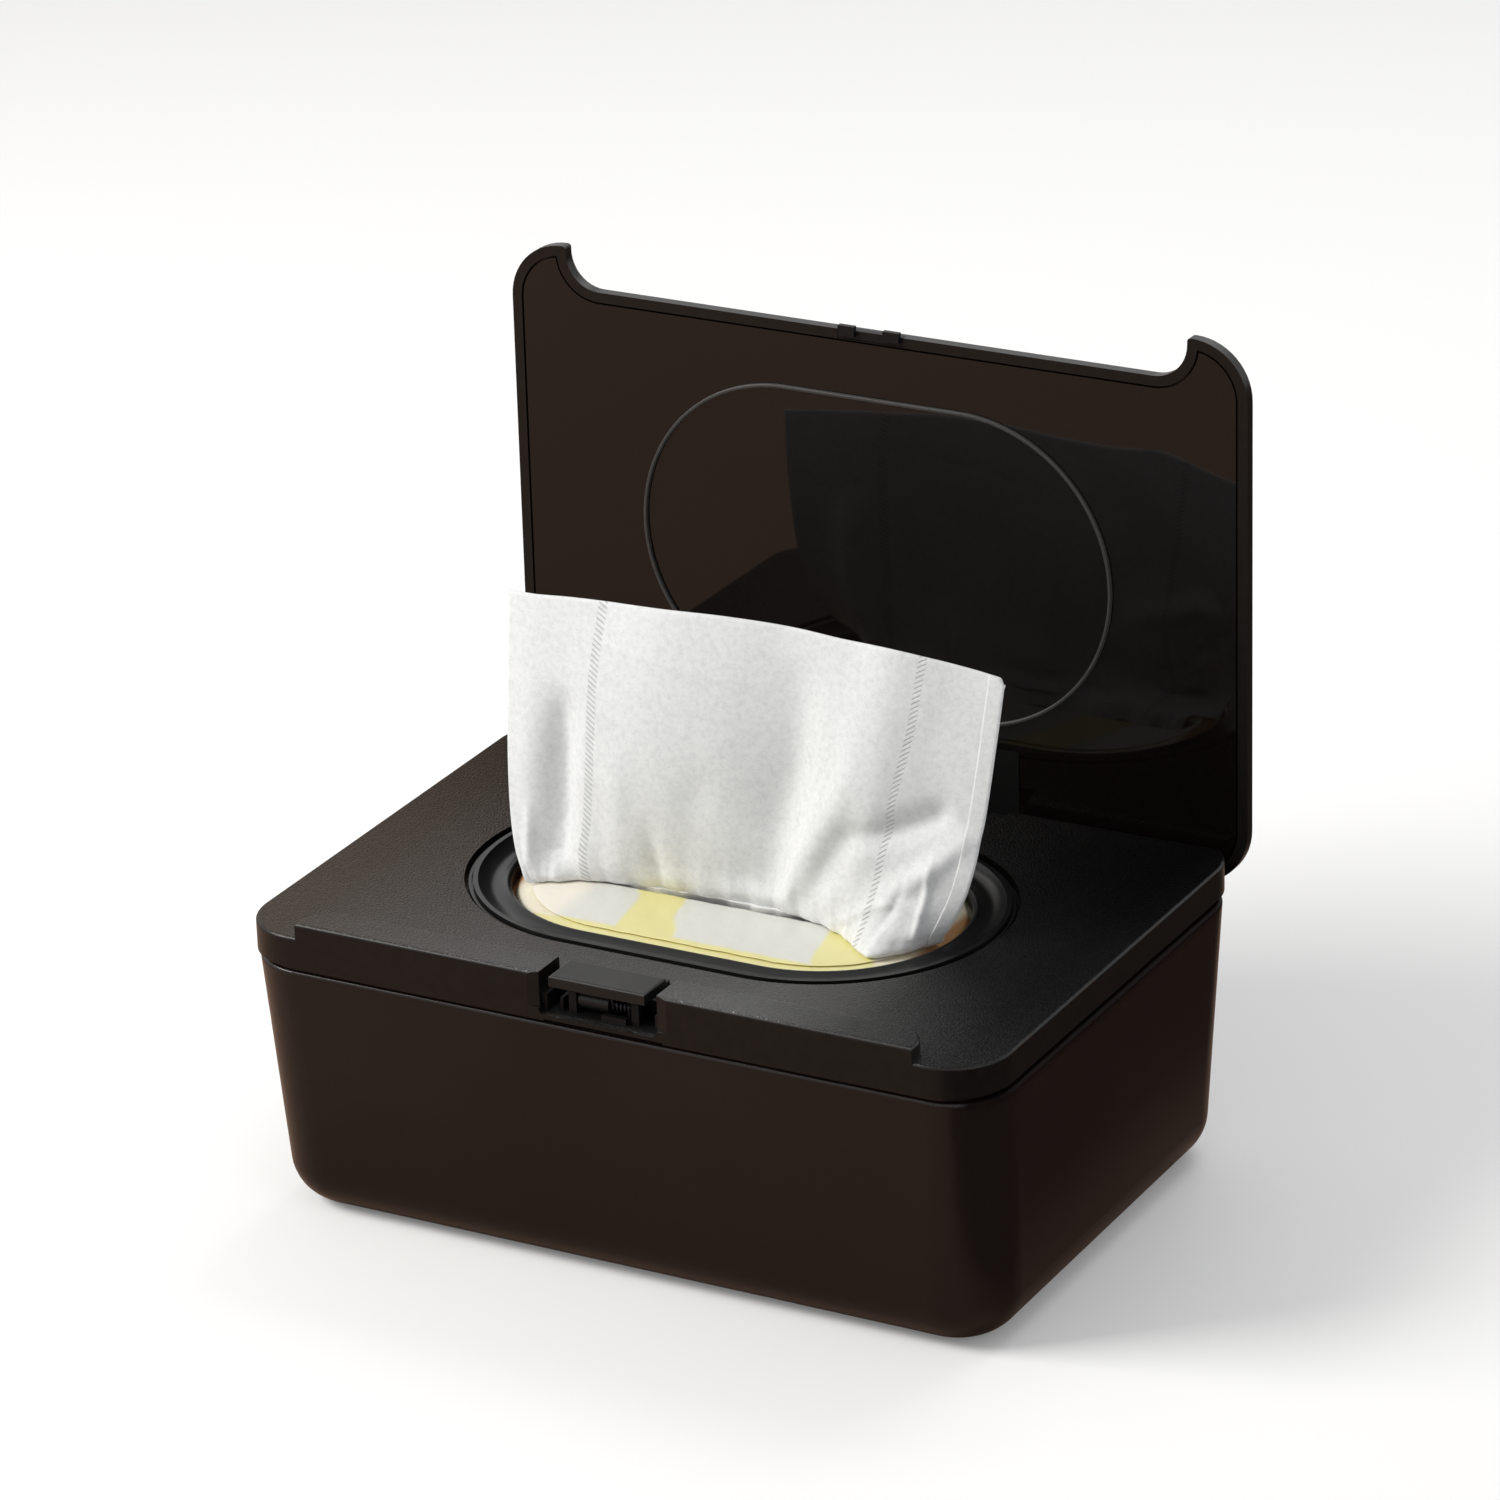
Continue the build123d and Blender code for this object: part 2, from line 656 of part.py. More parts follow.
# Push button: a plate rocking on a pin below it, with a lip along its back over the catch's teeth
button_width = window_width - 2 * button_side_gap
button_front = cover_front + button_front_gap
button_depth = ledge_back - button_front
lip_reach = lid_ledge_gap - lip_lid_gap
button_pin_y = cover_front + button_pin_inset
button_pin_z = button_under - button_pin_drop
button_spring_room = button_spring_turns * button_spring_pitch + button_spring_wire + 2 * spring_gap
cheek_inner = (button_knuckle_width + button_spring_room + bracket_cheek_gap) / 2
knuckle_left = bracket_cheek_gap - cheek_inner
with BuildPart() as push_button:
    with BuildSketch(Plane.XY.offset(button_under)):
        with Locations((0, button_front)):
            Rectangle(button_width, button_depth, align=(Align.CENTER, Align.MIN))
    extrude(amount=button_thickness)
    fillet(push_button.faces().sort_by(Axis.Z)[-1].edges(), button_edge_radius)
    with BuildSketch(Plane.XY.offset(button_under)):
        with Locations((0, ledge_back)):
            Rectangle(button_width, 2 * lip_reach)
    extrude(amount=lip_thickness)
    with BuildSketch(Plane.YZ.offset(knuckle_left)):
        with Locations((button_pin_y, button_pin_z)):
            Circle(button_knuckle_radius)
            Rectangle(
                button_web_thickness,
                button_pin_drop + button_thickness / 2,
                align=(Align.CENTER, Align.MIN),
            )
    extrude(amount=button_knuckle_width)
    with BuildSketch(Plane.YZ):
        with Locations((button_pin_y, button_pin_z)):
            Circle(button_pin_radius + bore_clearance)
    extrude(amount=button_width, both=True, mode=Mode.SUBTRACT)
push_button.part.label = "push_button"
export_step(push_button.part, "parts/push_button.step")

# Bracket behind the window: a tray with two cheeks for the button's pin, a rib and a block
bracket_bottom = cover_bottom + bracket_floor_rise
bracket_floor = bracket_bottom + bracket_wall
bracket_back = ledge_back - bracket_back_gap
bracket_depth = bracket_back - skirt_inner_front
bracket_top = deck_under
cheek_outer = cheek_inner + bracket_cheek_thickness
cheek_top = button_pin_z + button_knuckle_radius
with BuildPart() as latch_bracket:
    with BuildSketch(Plane.XY.offset(bracket_bottom)):
        with Locations((0, skirt_inner_front)):
            Rectangle(bracket_width, bracket_depth, align=(Align.CENTER, Align.MIN))
    extrude(amount=bracket_top - bracket_bottom)
    with BuildSketch(Plane.XY.offset(bracket_floor)):
        with Locations((0, bracket_back - bracket_wall)):
            Rectangle(
                bracket_width - 2 * bracket_wall, 2 * bracket_depth, align=(Align.CENTER, Align.MAX)
            )
    extrude(amount=bracket_top - bracket_floor, mode=Mode.SUBTRACT)
    with BuildSketch(Plane.XY.offset(bracket_floor)):
        with Locations((-cheek_inner, button_pin_y)):
            Rectangle(
                bracket_cheek_thickness, bracket_cheek_length, align=(Align.MAX, Align.CENTER)
            )
        with Locations((cheek_inner, button_pin_y)):
            Rectangle(
                bracket_cheek_thickness, bracket_cheek_length, align=(Align.MIN, Align.CENTER)
            )
    extrude(amount=cheek_top - bracket_floor)
    with BuildSketch(Plane.XY.offset(bracket_floor)):
        with Locations((-bracket_rib_offset, button_pin_y)):
            Rectangle(bracket_rib_width, bracket_rib_depth)
    extrude(amount=bracket_rib_height)
    with BuildSketch(Plane.XY.offset(bracket_floor)):
        with Locations((0, skirt_inner_front)):
            Rectangle(bracket_block_width, bracket_block_depth, align=(Align.MIN, Align.MIN))
    extrude(amount=bracket_block_height)
    with BuildSketch(Plane.YZ):
        with Locations((button_pin_y, button_pin_z)):
            Circle(button_pin_radius)
    extrude(amount=cheek_outer, both=True, mode=Mode.SUBTRACT)
latch_bracket.part.label = "latch_bracket"
export_step(latch_bracket.part, "parts/latch_bracket.step")

# Pin of the button, pressed into the bracket's cheeks
with BuildPart() as button_pin:
    with BuildSketch(Plane.YZ.offset(-cheek_outer)):
        with Locations((button_pin_y, button_pin_z)):
            Circle(button_pin_radius)
    extrude(amount=2 * cheek_outer)
button_pin.part.label = "button_pin"
export_step(button_pin.part, "parts/button_pin.step")

# Button spring: a torsion spring round the pin, between the knuckle and the right cheek
button_spring_start = knuckle_left + button_knuckle_width + spring_gap + button_spring_wire / 2
button_spring_plane = Plane(
    origin=(button_spring_start, button_pin_y, button_pin_z), x_dir=(0, -1, 0), z_dir=(1, 0, 0)
)
with BuildPart() as button_spring:
    with BuildLine(mode=Mode.PRIVATE) as button_spring_line:
        spring_path(button_spring_radius, button_spring_pitch, button_spring_turns, button_spring_leg)
    button_spring_route = button_spring_plane.from_local_coords(button_spring_line.wires()[0])
    with BuildSketch(Plane(origin=button_spring_route @ 0, z_dir=button_spring_route % 0)):
        Circle(button_spring_wire / 2)
    sweep(path=button_spring_route)
button_spring.part.label = "button_spring"
export_step(button_spring.part, "parts/button_spring.step")
print_spring(
    "button spring", button_spring.part, button_spring_route, button_spring_radius, button_spring_wire
)

# Refill pouch: a pack of film that bulges into the ring, with a slot in its top and a fin at each end
pouch_bottom = tub_floor
pouch_top = ring_bottom - pouch_top_gap
pouch_length = inside_length - 2 * pouch_end_gap
pouch_depth = inside_depth - 2 * pouch_front_gap
pouch_height = pouch_top - pouch_bottom
bulge_radius = ring_inner_radius - pouch_bulge_gap
bulge_top = pouch_top + pouch_bulge_height
label_radius = bulge_radius - label_margin
slot_reach = opening_straight / 2 + label_radius - label_slot_margin
slot_straight = 2 * (slot_reach - pouch_slot_radius)


def pillow(inset, top):
    """Block with rounded corners and edges, drawn in from the pouch's outline, up to a height."""
    bottom = pouch_bottom + inset
    with BuildSketch(Plane.XY.offset(bottom)) as footprint:
        RectangleRounded(
            pouch_length - 2 * inset, pouch_depth - 2 * inset, pouch_corner_radius - inset
        )
    block = extrude(footprint.sketch, amount=top - bottom)
    fillet(block.faces().sort_by(Axis.Z)[0].edges(), pouch_edge_radius - inset)
    fillet(block.faces().sort_by(Axis.Z)[-1].edges(), pouch_edge_radius - inset)


def pouch_form(inset):
    """The pouch's pillow with a stadium-shaped bulge on its top, all drawn in by an inset."""
    pillow(inset, pouch_top - inset)
    with BuildSketch(Plane.XY.offset(pouch_top - pouch_edge_radius)) as bulge:
        with Locations((0, opening_shift)):
            stadium(bulge_radius - inset)
    extrude(bulge.sketch, amount=bulge_top - pouch_top + pouch_edge_radius - inset)


with BuildPart() as pouch_inside:
    pouch_form(pouch_film)
    fillet(pouch_inside.faces().sort_by(Axis.Z)[-1].edges(), pouch_bulge_edge - pouch_film)

with BuildPart() as wipes_pouch:
    pouch_form(0)
    fillet(wipes_pouch.faces().sort_by(Axis.Z)[-1].edges(), pouch_bulge_edge)
    with BuildSketch(Plane.XY.offset(pouch_bottom + pouch_fin_height)):
        Rectangle(inside_length - 2 * pouch_fin_gap, pouch_depth - 2 * pouch_fin_inset)
    extrude(amount=pouch_fin_thickness)
    add(pouch_inside.part, mode=Mode.SUBTRACT)
    with BuildSketch(Plane.XY.offset(bulge_top)):
        with Locations((0, opening_shift)):
            stadium(pouch_slot_radius, slot_straight)
    extrude(amount=-2 * pouch_film, mode=Mode.SUBTRACT)
wipes_pouch.part.label = "wipes_pouch"
export_step(wipes_pouch.part, "parts/wipes_pouch.step")

# Label round the slot
with BuildPart() as pouch_label:
    with BuildSketch(Plane.XY.offset(bulge_top)):
        with Locations((0, opening_shift)):
            stadium(label_radius)
            stadium(pouch_slot_radius, slot_straight, mode=Mode.SUBTRACT)
    extrude(amount=label_thickness)
pouch_label.part.label = "pouch_label"
export_step(pouch_label.part, "parts/pouch_label.step")

# Stack of folded wipes, which fills the pouch
with BuildPart() as wipes_stack:
    pillow(pouch_film + stack_clearance, pouch_top - pouch_film - stack_headroom)
wipes_stack.part.label = "wipes_stack"
export_step(wipes_stack.part, "parts/wipes_stack.step")

# Wipe standing out of the opening: its sections run up from the slot, widen over the ring and
# fan out above it. Each has its height, its reach to the left and to the right, the depth of its
# folds, and the places of its left and right edges in front of or behind the opening's middle.
wipe_bottom = bulge_top - wipe_tuck
wipe_top = bulge_top + wipe_rise
ring_reach = opening_straight / 2 + ring_inner_radius - wipe_ring_gap
wipe_sections = [
    (wipe_bottom, slot_reach - wipe_foot_inset, slot_reach - wipe_foot_inset, 2.6, -2.3, -0.3),
    (bulge_top + 0.9, slot_reach - wipe_slot_gap, slot_reach - wipe_slot_gap, 3.0, -4.3, -0.3),
    (bulge_top + 4.9, ring_reach, ring_reach, 3.2, -6.3, -0.3),
    (bulge_top + 16.9, 60.4, 62.6, 2.2, -5.3, 1.2),
    (bulge_top + 40.9, 62.6, 67.9, 1.3, -2.3, 1.7),
    (wipe_top + wipe_arch, 61.4, 72.4, 0.7, 0.7, 0.7),
]


def fold_line(left, right, depth, left_place, right_place):
    """Folds of the wipe at one height: arcs that swing to the front and to the back by turns."""
    shares = [step / wipe_spans for step in range(wipe_spans + 1)]
    points = [
        (left + (right - left) * share, left_place + (right_place - left_place) * share)
        for share in shares
    ]
    for step in range(wipe_spans):
        start = points[step]
        end = points[step + 1]
        swing = depth if step % 2 else -depth
        ThreePointArc(start, ((start[0] + end[0]) / 2, (start[1] + end[1]) / 2 + swing), end)
    return points[0], points[-1]


with BuildPart() as popped_wipe:
    for height, to_left, to_right, fold_depth, left_place, right_place in wipe_sections:
        with BuildSketch(Plane.XY.offset(height)):
            with BuildLine():
                front = opening_shift - wipe_thickness / 2
                back = opening_shift + wipe_thickness / 2
                front_ends = fold_line(
                    -to_left, to_right, fold_depth, left_place + front, right_place + front
                )
                back_ends = fold_line(
                    -to_left, to_right, fold_depth, left_place + back, right_place + back
                )
                Line(front_ends[0], back_ends[0])
                Line(front_ends[1], back_ends[1])
            make_face()
    loft(ruled=True)
    # Arched top edge
    top_left = -wipe_sections[-1][1]
    top_right = wipe_sections[-1][2]
    with BuildSketch(Plane.XZ):
        with BuildLine():
            Polyline(
                (top_right, wipe_top - wipe_arch),
                (top_right, wipe_top + cut_margin),
                (top_left, wipe_top + cut_margin),
                (top_left, wipe_top - wipe_arch),
            )
            SagittaArc((top_left, wipe_top - wipe_arch), (top_right, wipe_top - wipe_arch), wipe_arch)
        make_face()
    extrude(amount=cover_depth, both=True, mode=Mode.SUBTRACT)
popped_wipe.part.label = "popped_wipe"
export_step(popped_wipe.part, "parts/popped_wipe.step")
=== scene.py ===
# %% [markdown]
# # A wipes dispenser, dressed
#
# The real object is a dark plastic box for moist baby wipes. Its tub is glossy, its lift-off
# cover has a fine leather grain, and its hinged lid stands open with a mirror-gloss liner
# inside. A wipe stands out of the oval opening, and in front of it the film and label of
# the refill pack show. The hard pieces come with the right shape from the frame, so they
# only get materials here. The soft pieces are new surfaces, worked out as grids of points.

import bpy
import numpy as np
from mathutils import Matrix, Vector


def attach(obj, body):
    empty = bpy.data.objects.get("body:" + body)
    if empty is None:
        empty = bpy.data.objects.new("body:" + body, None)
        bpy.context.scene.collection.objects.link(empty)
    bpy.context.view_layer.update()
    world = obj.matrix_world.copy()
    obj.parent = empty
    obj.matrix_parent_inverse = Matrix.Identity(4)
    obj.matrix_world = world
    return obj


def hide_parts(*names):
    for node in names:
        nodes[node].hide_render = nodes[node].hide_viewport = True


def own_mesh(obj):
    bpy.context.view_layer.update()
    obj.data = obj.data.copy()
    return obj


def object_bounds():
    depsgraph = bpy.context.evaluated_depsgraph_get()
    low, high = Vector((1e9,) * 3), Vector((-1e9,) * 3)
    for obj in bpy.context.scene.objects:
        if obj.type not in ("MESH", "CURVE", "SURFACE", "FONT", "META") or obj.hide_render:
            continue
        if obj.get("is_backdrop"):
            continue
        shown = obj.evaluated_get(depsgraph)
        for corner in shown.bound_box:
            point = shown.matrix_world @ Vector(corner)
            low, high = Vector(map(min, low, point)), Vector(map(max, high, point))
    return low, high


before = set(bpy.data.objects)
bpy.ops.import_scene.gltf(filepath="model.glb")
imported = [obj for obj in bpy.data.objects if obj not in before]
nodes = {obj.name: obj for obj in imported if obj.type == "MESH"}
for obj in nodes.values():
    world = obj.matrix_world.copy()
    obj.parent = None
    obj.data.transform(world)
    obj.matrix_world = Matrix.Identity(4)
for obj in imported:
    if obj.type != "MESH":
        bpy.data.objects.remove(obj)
frame_low, frame_high = (list(corner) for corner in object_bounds())
MM = 0.001
frame_size = [round((high - low) / MM, 1) for low, high in zip(frame_low, frame_high)]
print("nodes", len(nodes), "box in mm", frame_size)

# %% [markdown]
# ## Camera
#
# The photograph was taken with a long lens from the front right, a little above the box. A
# camera can be placed by eye, but this one is fitted to the photograph. Azimuth, elevation
# and roll turn the camera. The lens is given in pixels of the 1500-pixel frame, which the
# sensor's width turns into millimetres.

# %% Camera at the photograph's angle
FRAME_PIXELS = 1500
SENSOR_MM = 36
NEAREST, FARTHEST = 0.1, 30
lens_pixels = 6872.976
azimuth, elevation, roll = np.radians([29.168, 22.901, 1.932])
camera_place = np.array([737.385, -1314.968, 748.688]) * MM


def camera_axes(azimuth, elevation, roll):
    """Rows are the camera's right, up and back. Back points from the object to the camera at
    the azimuth and elevation, right is level, up is back cross right, and roll turns right
    and up about back."""
    back = np.array(
        [
            np.sin(azimuth) * np.cos(elevation),
            -np.cos(azimuth) * np.cos(elevation),
            np.sin(elevation),
        ]
    )
    right = np.array([np.cos(azimuth), np.sin(azimuth), 0])
    up = np.cross(back, right)
    turned_right = np.cos(roll) * right - np.sin(roll) * up
    turned_up = np.sin(roll) * right + np.cos(roll) * up
    return np.array([turned_right, turned_up, back])


camera_data = bpy.data.cameras.new("camera")
camera_data.sensor_width = SENSOR_MM
camera_data.lens = lens_pixels / FRAME_PIXELS * SENSOR_MM
camera_data.clip_start, camera_data.clip_end = NEAREST, FARTHEST
camera = bpy.data.objects.new("camera", camera_data)
camera_matrix = np.eye(4)
camera_matrix[:3, :3] = camera_axes(azimuth, elevation, roll).T
camera_matrix[:3, 3] = camera_place
camera.matrix_world = camera_matrix.T.tolist()
bpy.context.scene.collection.objects.link(camera)
bpy.context.scene.camera = camera
bpy.context.scene.view_settings.view_transform = "Standard"
print("lens in mm", round(camera_data.lens, 2))

# %% [markdown]
# ## Small helpers
#
# Colours are written as they look on a screen, in sRGB hex, while shaders work in linear
# light, so one function turns one into the other. Another adds a shader node with its
# settings and its links in one call, which keeps each material short enough to read. Sizes
# are written in millimetres, and a pattern's scale is one over its size.

# %% Helpers for colours and nodes
TIMES = {"operation": "MULTIPLY"}
TIMES_PLUS = {"operation": "MULTIPLY_ADD"}
LARGER = {"operation": "MAXIMUM"}
SMOOTHLY = {"interpolation_type": "SMOOTHSTEP"}


def linear(code):
    """A hex colour in linear light: below 0.04045 a channel is divided by 12.92, and above
    it the channel plus 0.055, over 1.055, is raised to 2.4."""
    channels = np.array([int(code[start : start + 2], 16) for start in (1, 3, 5)]) / 255
    low = channels / 12.92
    high = ((channels + 0.055) / 1.055) ** 2.4
    return (*np.where(channels <= 0.04045, low, high).tolist(), 1.0)


def per_mm(size_mm):
    """The scale of a pattern whose features are about size_mm across."""
    return 1 / (size_mm * MM)


def tones(dark, light, start=0.3, stop=0.7):
    """A colour ramp's settings, from a dark hex colour to a light one."""
    return {"stops": [(start, linear(dark)), (stop, linear(light))]}


def feed(tree, node, **sockets):
    """Gives each named socket a plain value, an output, or a node's first output. A socket's
    name is written with underscores, and a number after one counts the sockets from 0."""
    for name, value in sockets.items():
        socket = node.inputs[int(name[1:]) if name[0] == "_" else name.replace("_", " ")]
        value = value.outputs[0] if isinstance(value, bpy.types.Node) else value
        if isinstance(value, bpy.types.NodeSocket):
            tree.links.new(value, socket)
        else:
            socket.default_value = value


def add(tree, kind, settings=(), **sockets):
    """Adds one shader node. Settings are its attributes, and a colour ramp's stops are pairs
    of place and linear colour."""
    node = tree.nodes.new("ShaderNode" + kind)
    settings = dict(settings)
    for stop, (place, shade) in enumerate(settings.pop("stops", ())):
        elements = node.color_ramp.elements
        element = elements[stop] if stop < 2 else elements.new(place)
        element.position, element.color = place, shade
    for name, value in settings.items():
        setattr(node, name, value)
    feed(tree, node, **sockets)
    return node


def new_material(name):
    """An empty node material with its output, and a Principled shader linked to it."""
    material = bpy.data.materials.new(name)
    material.use_nodes = True
    tree = material.node_tree
    tree.nodes.clear()
    shader = add(tree, "BsdfPrincipled")
    add(tree, "OutputMaterial", Surface=shader)
    return material, tree, shader


print("middle grey in linear light", round(linear("#808080")[0], 3))

# %% [markdown]
# ## Light
#
# A product photograph is lit by large softboxes, so that dark plastic shows broad, quiet
# sheens and no hard spots. The world gives even fill light. Camera and mirror rays see it
# white, which makes the background and the reflections bright without lighting the object
# more.

# %% World
FILL_LEVEL = 0.4
world = bpy.data.worlds.new("studio")
world.use_nodes = True
bpy.context.scene.world = world
world_tree = world.node_tree
world_tree.nodes.clear()
paths = add(world_tree, "LightPath").outputs
seen_or_glossy = add(
    world_tree, "Math", LARGER, _0=paths["Is Camera Ray"], _1=paths["Is Glossy Ray"]
)
bright_ray = add(
    world_tree, "Math", LARGER, _0=seen_or_glossy, _1=paths["Is Transmission Ray"]
)
world_level = add(world_tree, "MapRange", Value=bright_ray, To_Min=FILL_LEVEL, To_Max=1.0)
studio = add(world_tree, "Background", Color=linear("#ffffff"), Strength=world_level)
add(world_tree, "OutputWorld", Surface=studio)
print("world gives", FILL_LEVEL, "and is seen as 1")

# %% Softboxes
# Each has its place and width in metres, its power in watts and its colour.
LAMPS = {
    "softbox_left": ((-1.0, -0.7, 1.0), 0.7, 20.0, "#fffdf8"),
    "softbox_right": ((1.25, -0.55, 0.8), 0.7, 1.0, "#f6f9ff"),
    "softbox_back": ((0.1, 0.85, 1.15), 0.8, 5.0, "#ffffff"),
}
AIM = np.array([0.0, 0.0, 0.09])


def facing_matrix(place, aim):
    """Turns a lamp at a place to the aim. Back points from the aim to the place, side is
    level, and the third axis is back cross side. A lamp shines against its back."""
    back = (np.array(place) - aim) / np.linalg.norm(np.array(place) - aim)
    side = np.cross([0, 0, 1], back)
    side /= np.linalg.norm(side)
    matrix = np.eye(4)
    matrix[:3, :3] = np.array([side, np.cross(back, side), back]).T
    matrix[:3, 3] = place
    return matrix


for lamp_name, (place, width, power, shade) in LAMPS.items():
    lamp_data = bpy.data.lights.new(lamp_name, "AREA")
    lamp_data.size = width
    lamp_data.energy = power
    lamp_data.color = linear(shade)[:3]
    lamp = bpy.data.objects.new(lamp_name, lamp_data)
    lamp.matrix_world = facing_matrix(place, AIM).T.tolist()
    bpy.context.scene.collection.objects.link(lamp)
print("lamps", list(LAMPS))

# %% [markdown]
# ## Floor
#
# The floor is plain and pale, and catches the object's shadow. The gloss of a real box
# mirrors the table it stands on, which is often darker than the paper that the picture
# shows. Mirror rays therefore see another colour than the camera does.

# %% Floor
FLOOR_HALF = 6.0
floor_mesh = bpy.data.meshes.new("floor")
floor_corners = np.array([(-1, -1, 0), (1, -1, 0), (1, 1, 0), (-1, 1, 0)]) * FLOOR_HALF
floor_mesh.from_pydata(floor_corners.tolist(), [], [(0, 1, 2, 3)])
floor = bpy.data.objects.new("floor", floor_mesh)
bpy.context.scene.collection.objects.link(floor)
floor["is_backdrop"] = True


def paper_floor():
    """Roll of seamless background paper: matt and pale, with a faint glow that lifts it to
    white where no shadow falls. Mirror rays see a painted reflection of a warm brown table
    instead, as on a product photograph, and it darkens to the right as painted shade, so that
    the tub's right side mirrors it dark."""
    material, tree, shader = new_material("seamless_paper")
    rays = add(tree, "LightPath").outputs
    place = add(tree, "TexCoord").outputs["Object"]
    across = add(tree, "SeparateXYZ", Vector=place).outputs["X"]
    rightwards = add(tree, "MapRange", Value=across, From_Min=0.1, From_Max=0.125)
    # Painted reflection of a brown table, darker to the right as painted shade.
    painted_table_reflection = add(
        tree, "MixRGB", Fac=rightwards, Color1=linear("#b0917f"), Color2=linear("#48382f")
    )
    shade = add(
        tree, "MixRGB", Fac=rays["Is Glossy Ray"], Color1=linear("#f2f2f2"), Color2=painted_table_reflection
    )
    glow = add(tree, "MapRange", Value=rays["Is Camera Ray"], To_Min=0.0, To_Max=0.14)
    feed(
        tree,
        shader,
        Base_Color=shade,
        Roughness=0.9,
        Specular_IOR_Level=0.1,
        Emission_Color=linear("#ffffff"),
        Emission_Strength=glow,
    )
    return material


floor_mesh.materials.append(paper_floor())
print("floor width in m", 2 * FLOOR_HALF)

# %% [markdown]
# ## Glossy plastic
#
# The hard pieces are injection-moulded ABS in a dark brown-black. What tells them apart is
# how the mould was finished. A polished mould gives the tub its gloss and the liner its
# mirror. A flat colour alone would look like glass, so slow noise moves the roughness, and
# a very shallow bump makes the reflections swim as they do on real mouldings.

# %% Polished mould
TUB_LEVEL = 0.3


def gloss_abs(name, dark, light, roughness, peel_mm, peel_depth, level):
    """ABS from a polished mould: even colour with a slow drift, and a faint orange peel that
    makes the reflections swim a little."""
    material, tree, shader = new_material(name)
    place = add(tree, "TexCoord").outputs["Object"]
    drift = add(tree, "TexNoise", Vector=place, Scale=per_mm(60))
    smear = add(tree, "TexNoise", Vector=place, Scale=per_mm(14), Detail=3)
    peel = add(tree, "TexNoise", Vector=place, Scale=per_mm(peel_mm))
    feed(
        tree,
        shader,
        Base_Color=add(tree, "ValToRGB", tones(dark, light), Fac=drift),
        Roughness=add(
            tree, "MapRange", Value=smear, To_Min=roughness * 0.85, To_Max=roughness * 1.2
        ),
        Specular_IOR_Level=level,
        Normal=add(tree, "Bump", Height=peel, Distance=peel_depth * MM),
    )
    return material


def painted_rim_shade(material, level, dull_level=0.02):
    """Painted shade along the right of the tub's rim: the gloss fades where x passes 93 mm and
    z passes 65 mm, over 2 mm each way, which takes the highlight off the rim there."""
    tree = material.node_tree
    place = add(tree, "TexCoord").outputs["Object"]
    axes = add(tree, "SeparateXYZ", Vector=place).outputs
    out = add(tree, "MapRange", Value=axes["X"], From_Min=0.092, From_Max=0.094)
    up = add(tree, "MapRange", Value=axes["Z"], From_Min=0.064, From_Max=0.066)
    both = add(tree, "Math", TIMES, _0=out, _1=up)
    faded = add(tree, "MapRange", Value=both, To_Min=level, To_Max=dull_level)
    feed(tree, tree.nodes["Principled BSDF"], Specular_IOR_Level=faded)


tub_finish = gloss_abs("gloss_abs_tub", "#16100e", "#1b1311", 0.2, 2.4, 0.004, TUB_LEVEL)
painted_rim_shade(tub_finish, TUB_LEVEL)
liner_finish = gloss_abs("mirror_abs_liner", "#0a0706", "#0d0908", 0.03, 26, 0.01, 0.4)
print("glossy finishes", tub_finish.name, liner_finish.name)

# %% [markdown]
# ## Grained plastic
#
# An etched mould gives the deck and the lid's outside a leather grain, while their side
# bands are smooth. The grain could come from an image, but one made from cells in real
# millimetres stays sharp at any distance. The direction that a face points in tells grained
# faces from smooth ones. The deck also gets painted light: a painted warm reflection makes
# it browner at the left, painted shade makes it blacker at the right, and a gloss level set
# by place paints its sheen strongest along the front.

# %% Etched mould
SMOOTH_LEVEL = 0.25
DECK_HALF, DECK_FRONT, DECK_BACK = 0.09, -0.066, 0.05
# The gloss level along the deck's front, from left to right: a painted sheen, strongest right of
# the middle.
FRONT_GLOSS = [(0, 0.13), (0.5, 0.66), (0.7, 0.95), (0.86, 0.25), (1, 0.09)]
BACK_GLOSS = 0.17


def painted_deck_light(tree, place, grained, even, light):
    """The deck's painted light by place. The colour drifts from a painted warm reflection at the
    left to painted shade at the right. The gloss is the front's, times a share that falls
    towards the back, and only on grained faces, so that the painted sheen is strongest at the
    front."""
    axes = add(tree, "SeparateXYZ", Vector=place).outputs
    rightwards = add(
        tree, "MapRange", Value=axes["X"], From_Min=-DECK_HALF, From_Max=DECK_HALF
    )
    # Painted warm reflection at the left, painted shade at the right.
    shades = [(0, linear("#36281a")), (0.45, linear(light)), (1, linear("#060709"))]
    drift = add(tree, "ValToRGB", {"stops": shades}, Fac=rightwards)
    amount = add(tree, "Math", TIMES, _0=grained, _1=0.7)
    colour = add(tree, "MixRGB", Fac=amount, Color1=even, Color2=drift)
    share = add(
        tree,
        "MapRange",
        Value=axes["Y"],
        From_Min=DECK_FRONT,
        From_Max=DECK_BACK,
        To_Min=1.0,
        To_Max=BACK_GLOSS,
    )
    greys = [(stop, (part, part, part, 1)) for stop, part in FRONT_GLOSS]
    front = add(tree, "ValToRGB", {"stops": greys}, Fac=rightwards)
    level = add(tree, "Math", TIMES, _0=share, _1=front)
    gloss = add(tree, "MapRange", Value=grained, To_Min=SMOOTH_LEVEL, To_Max=level)
    return colour, gloss


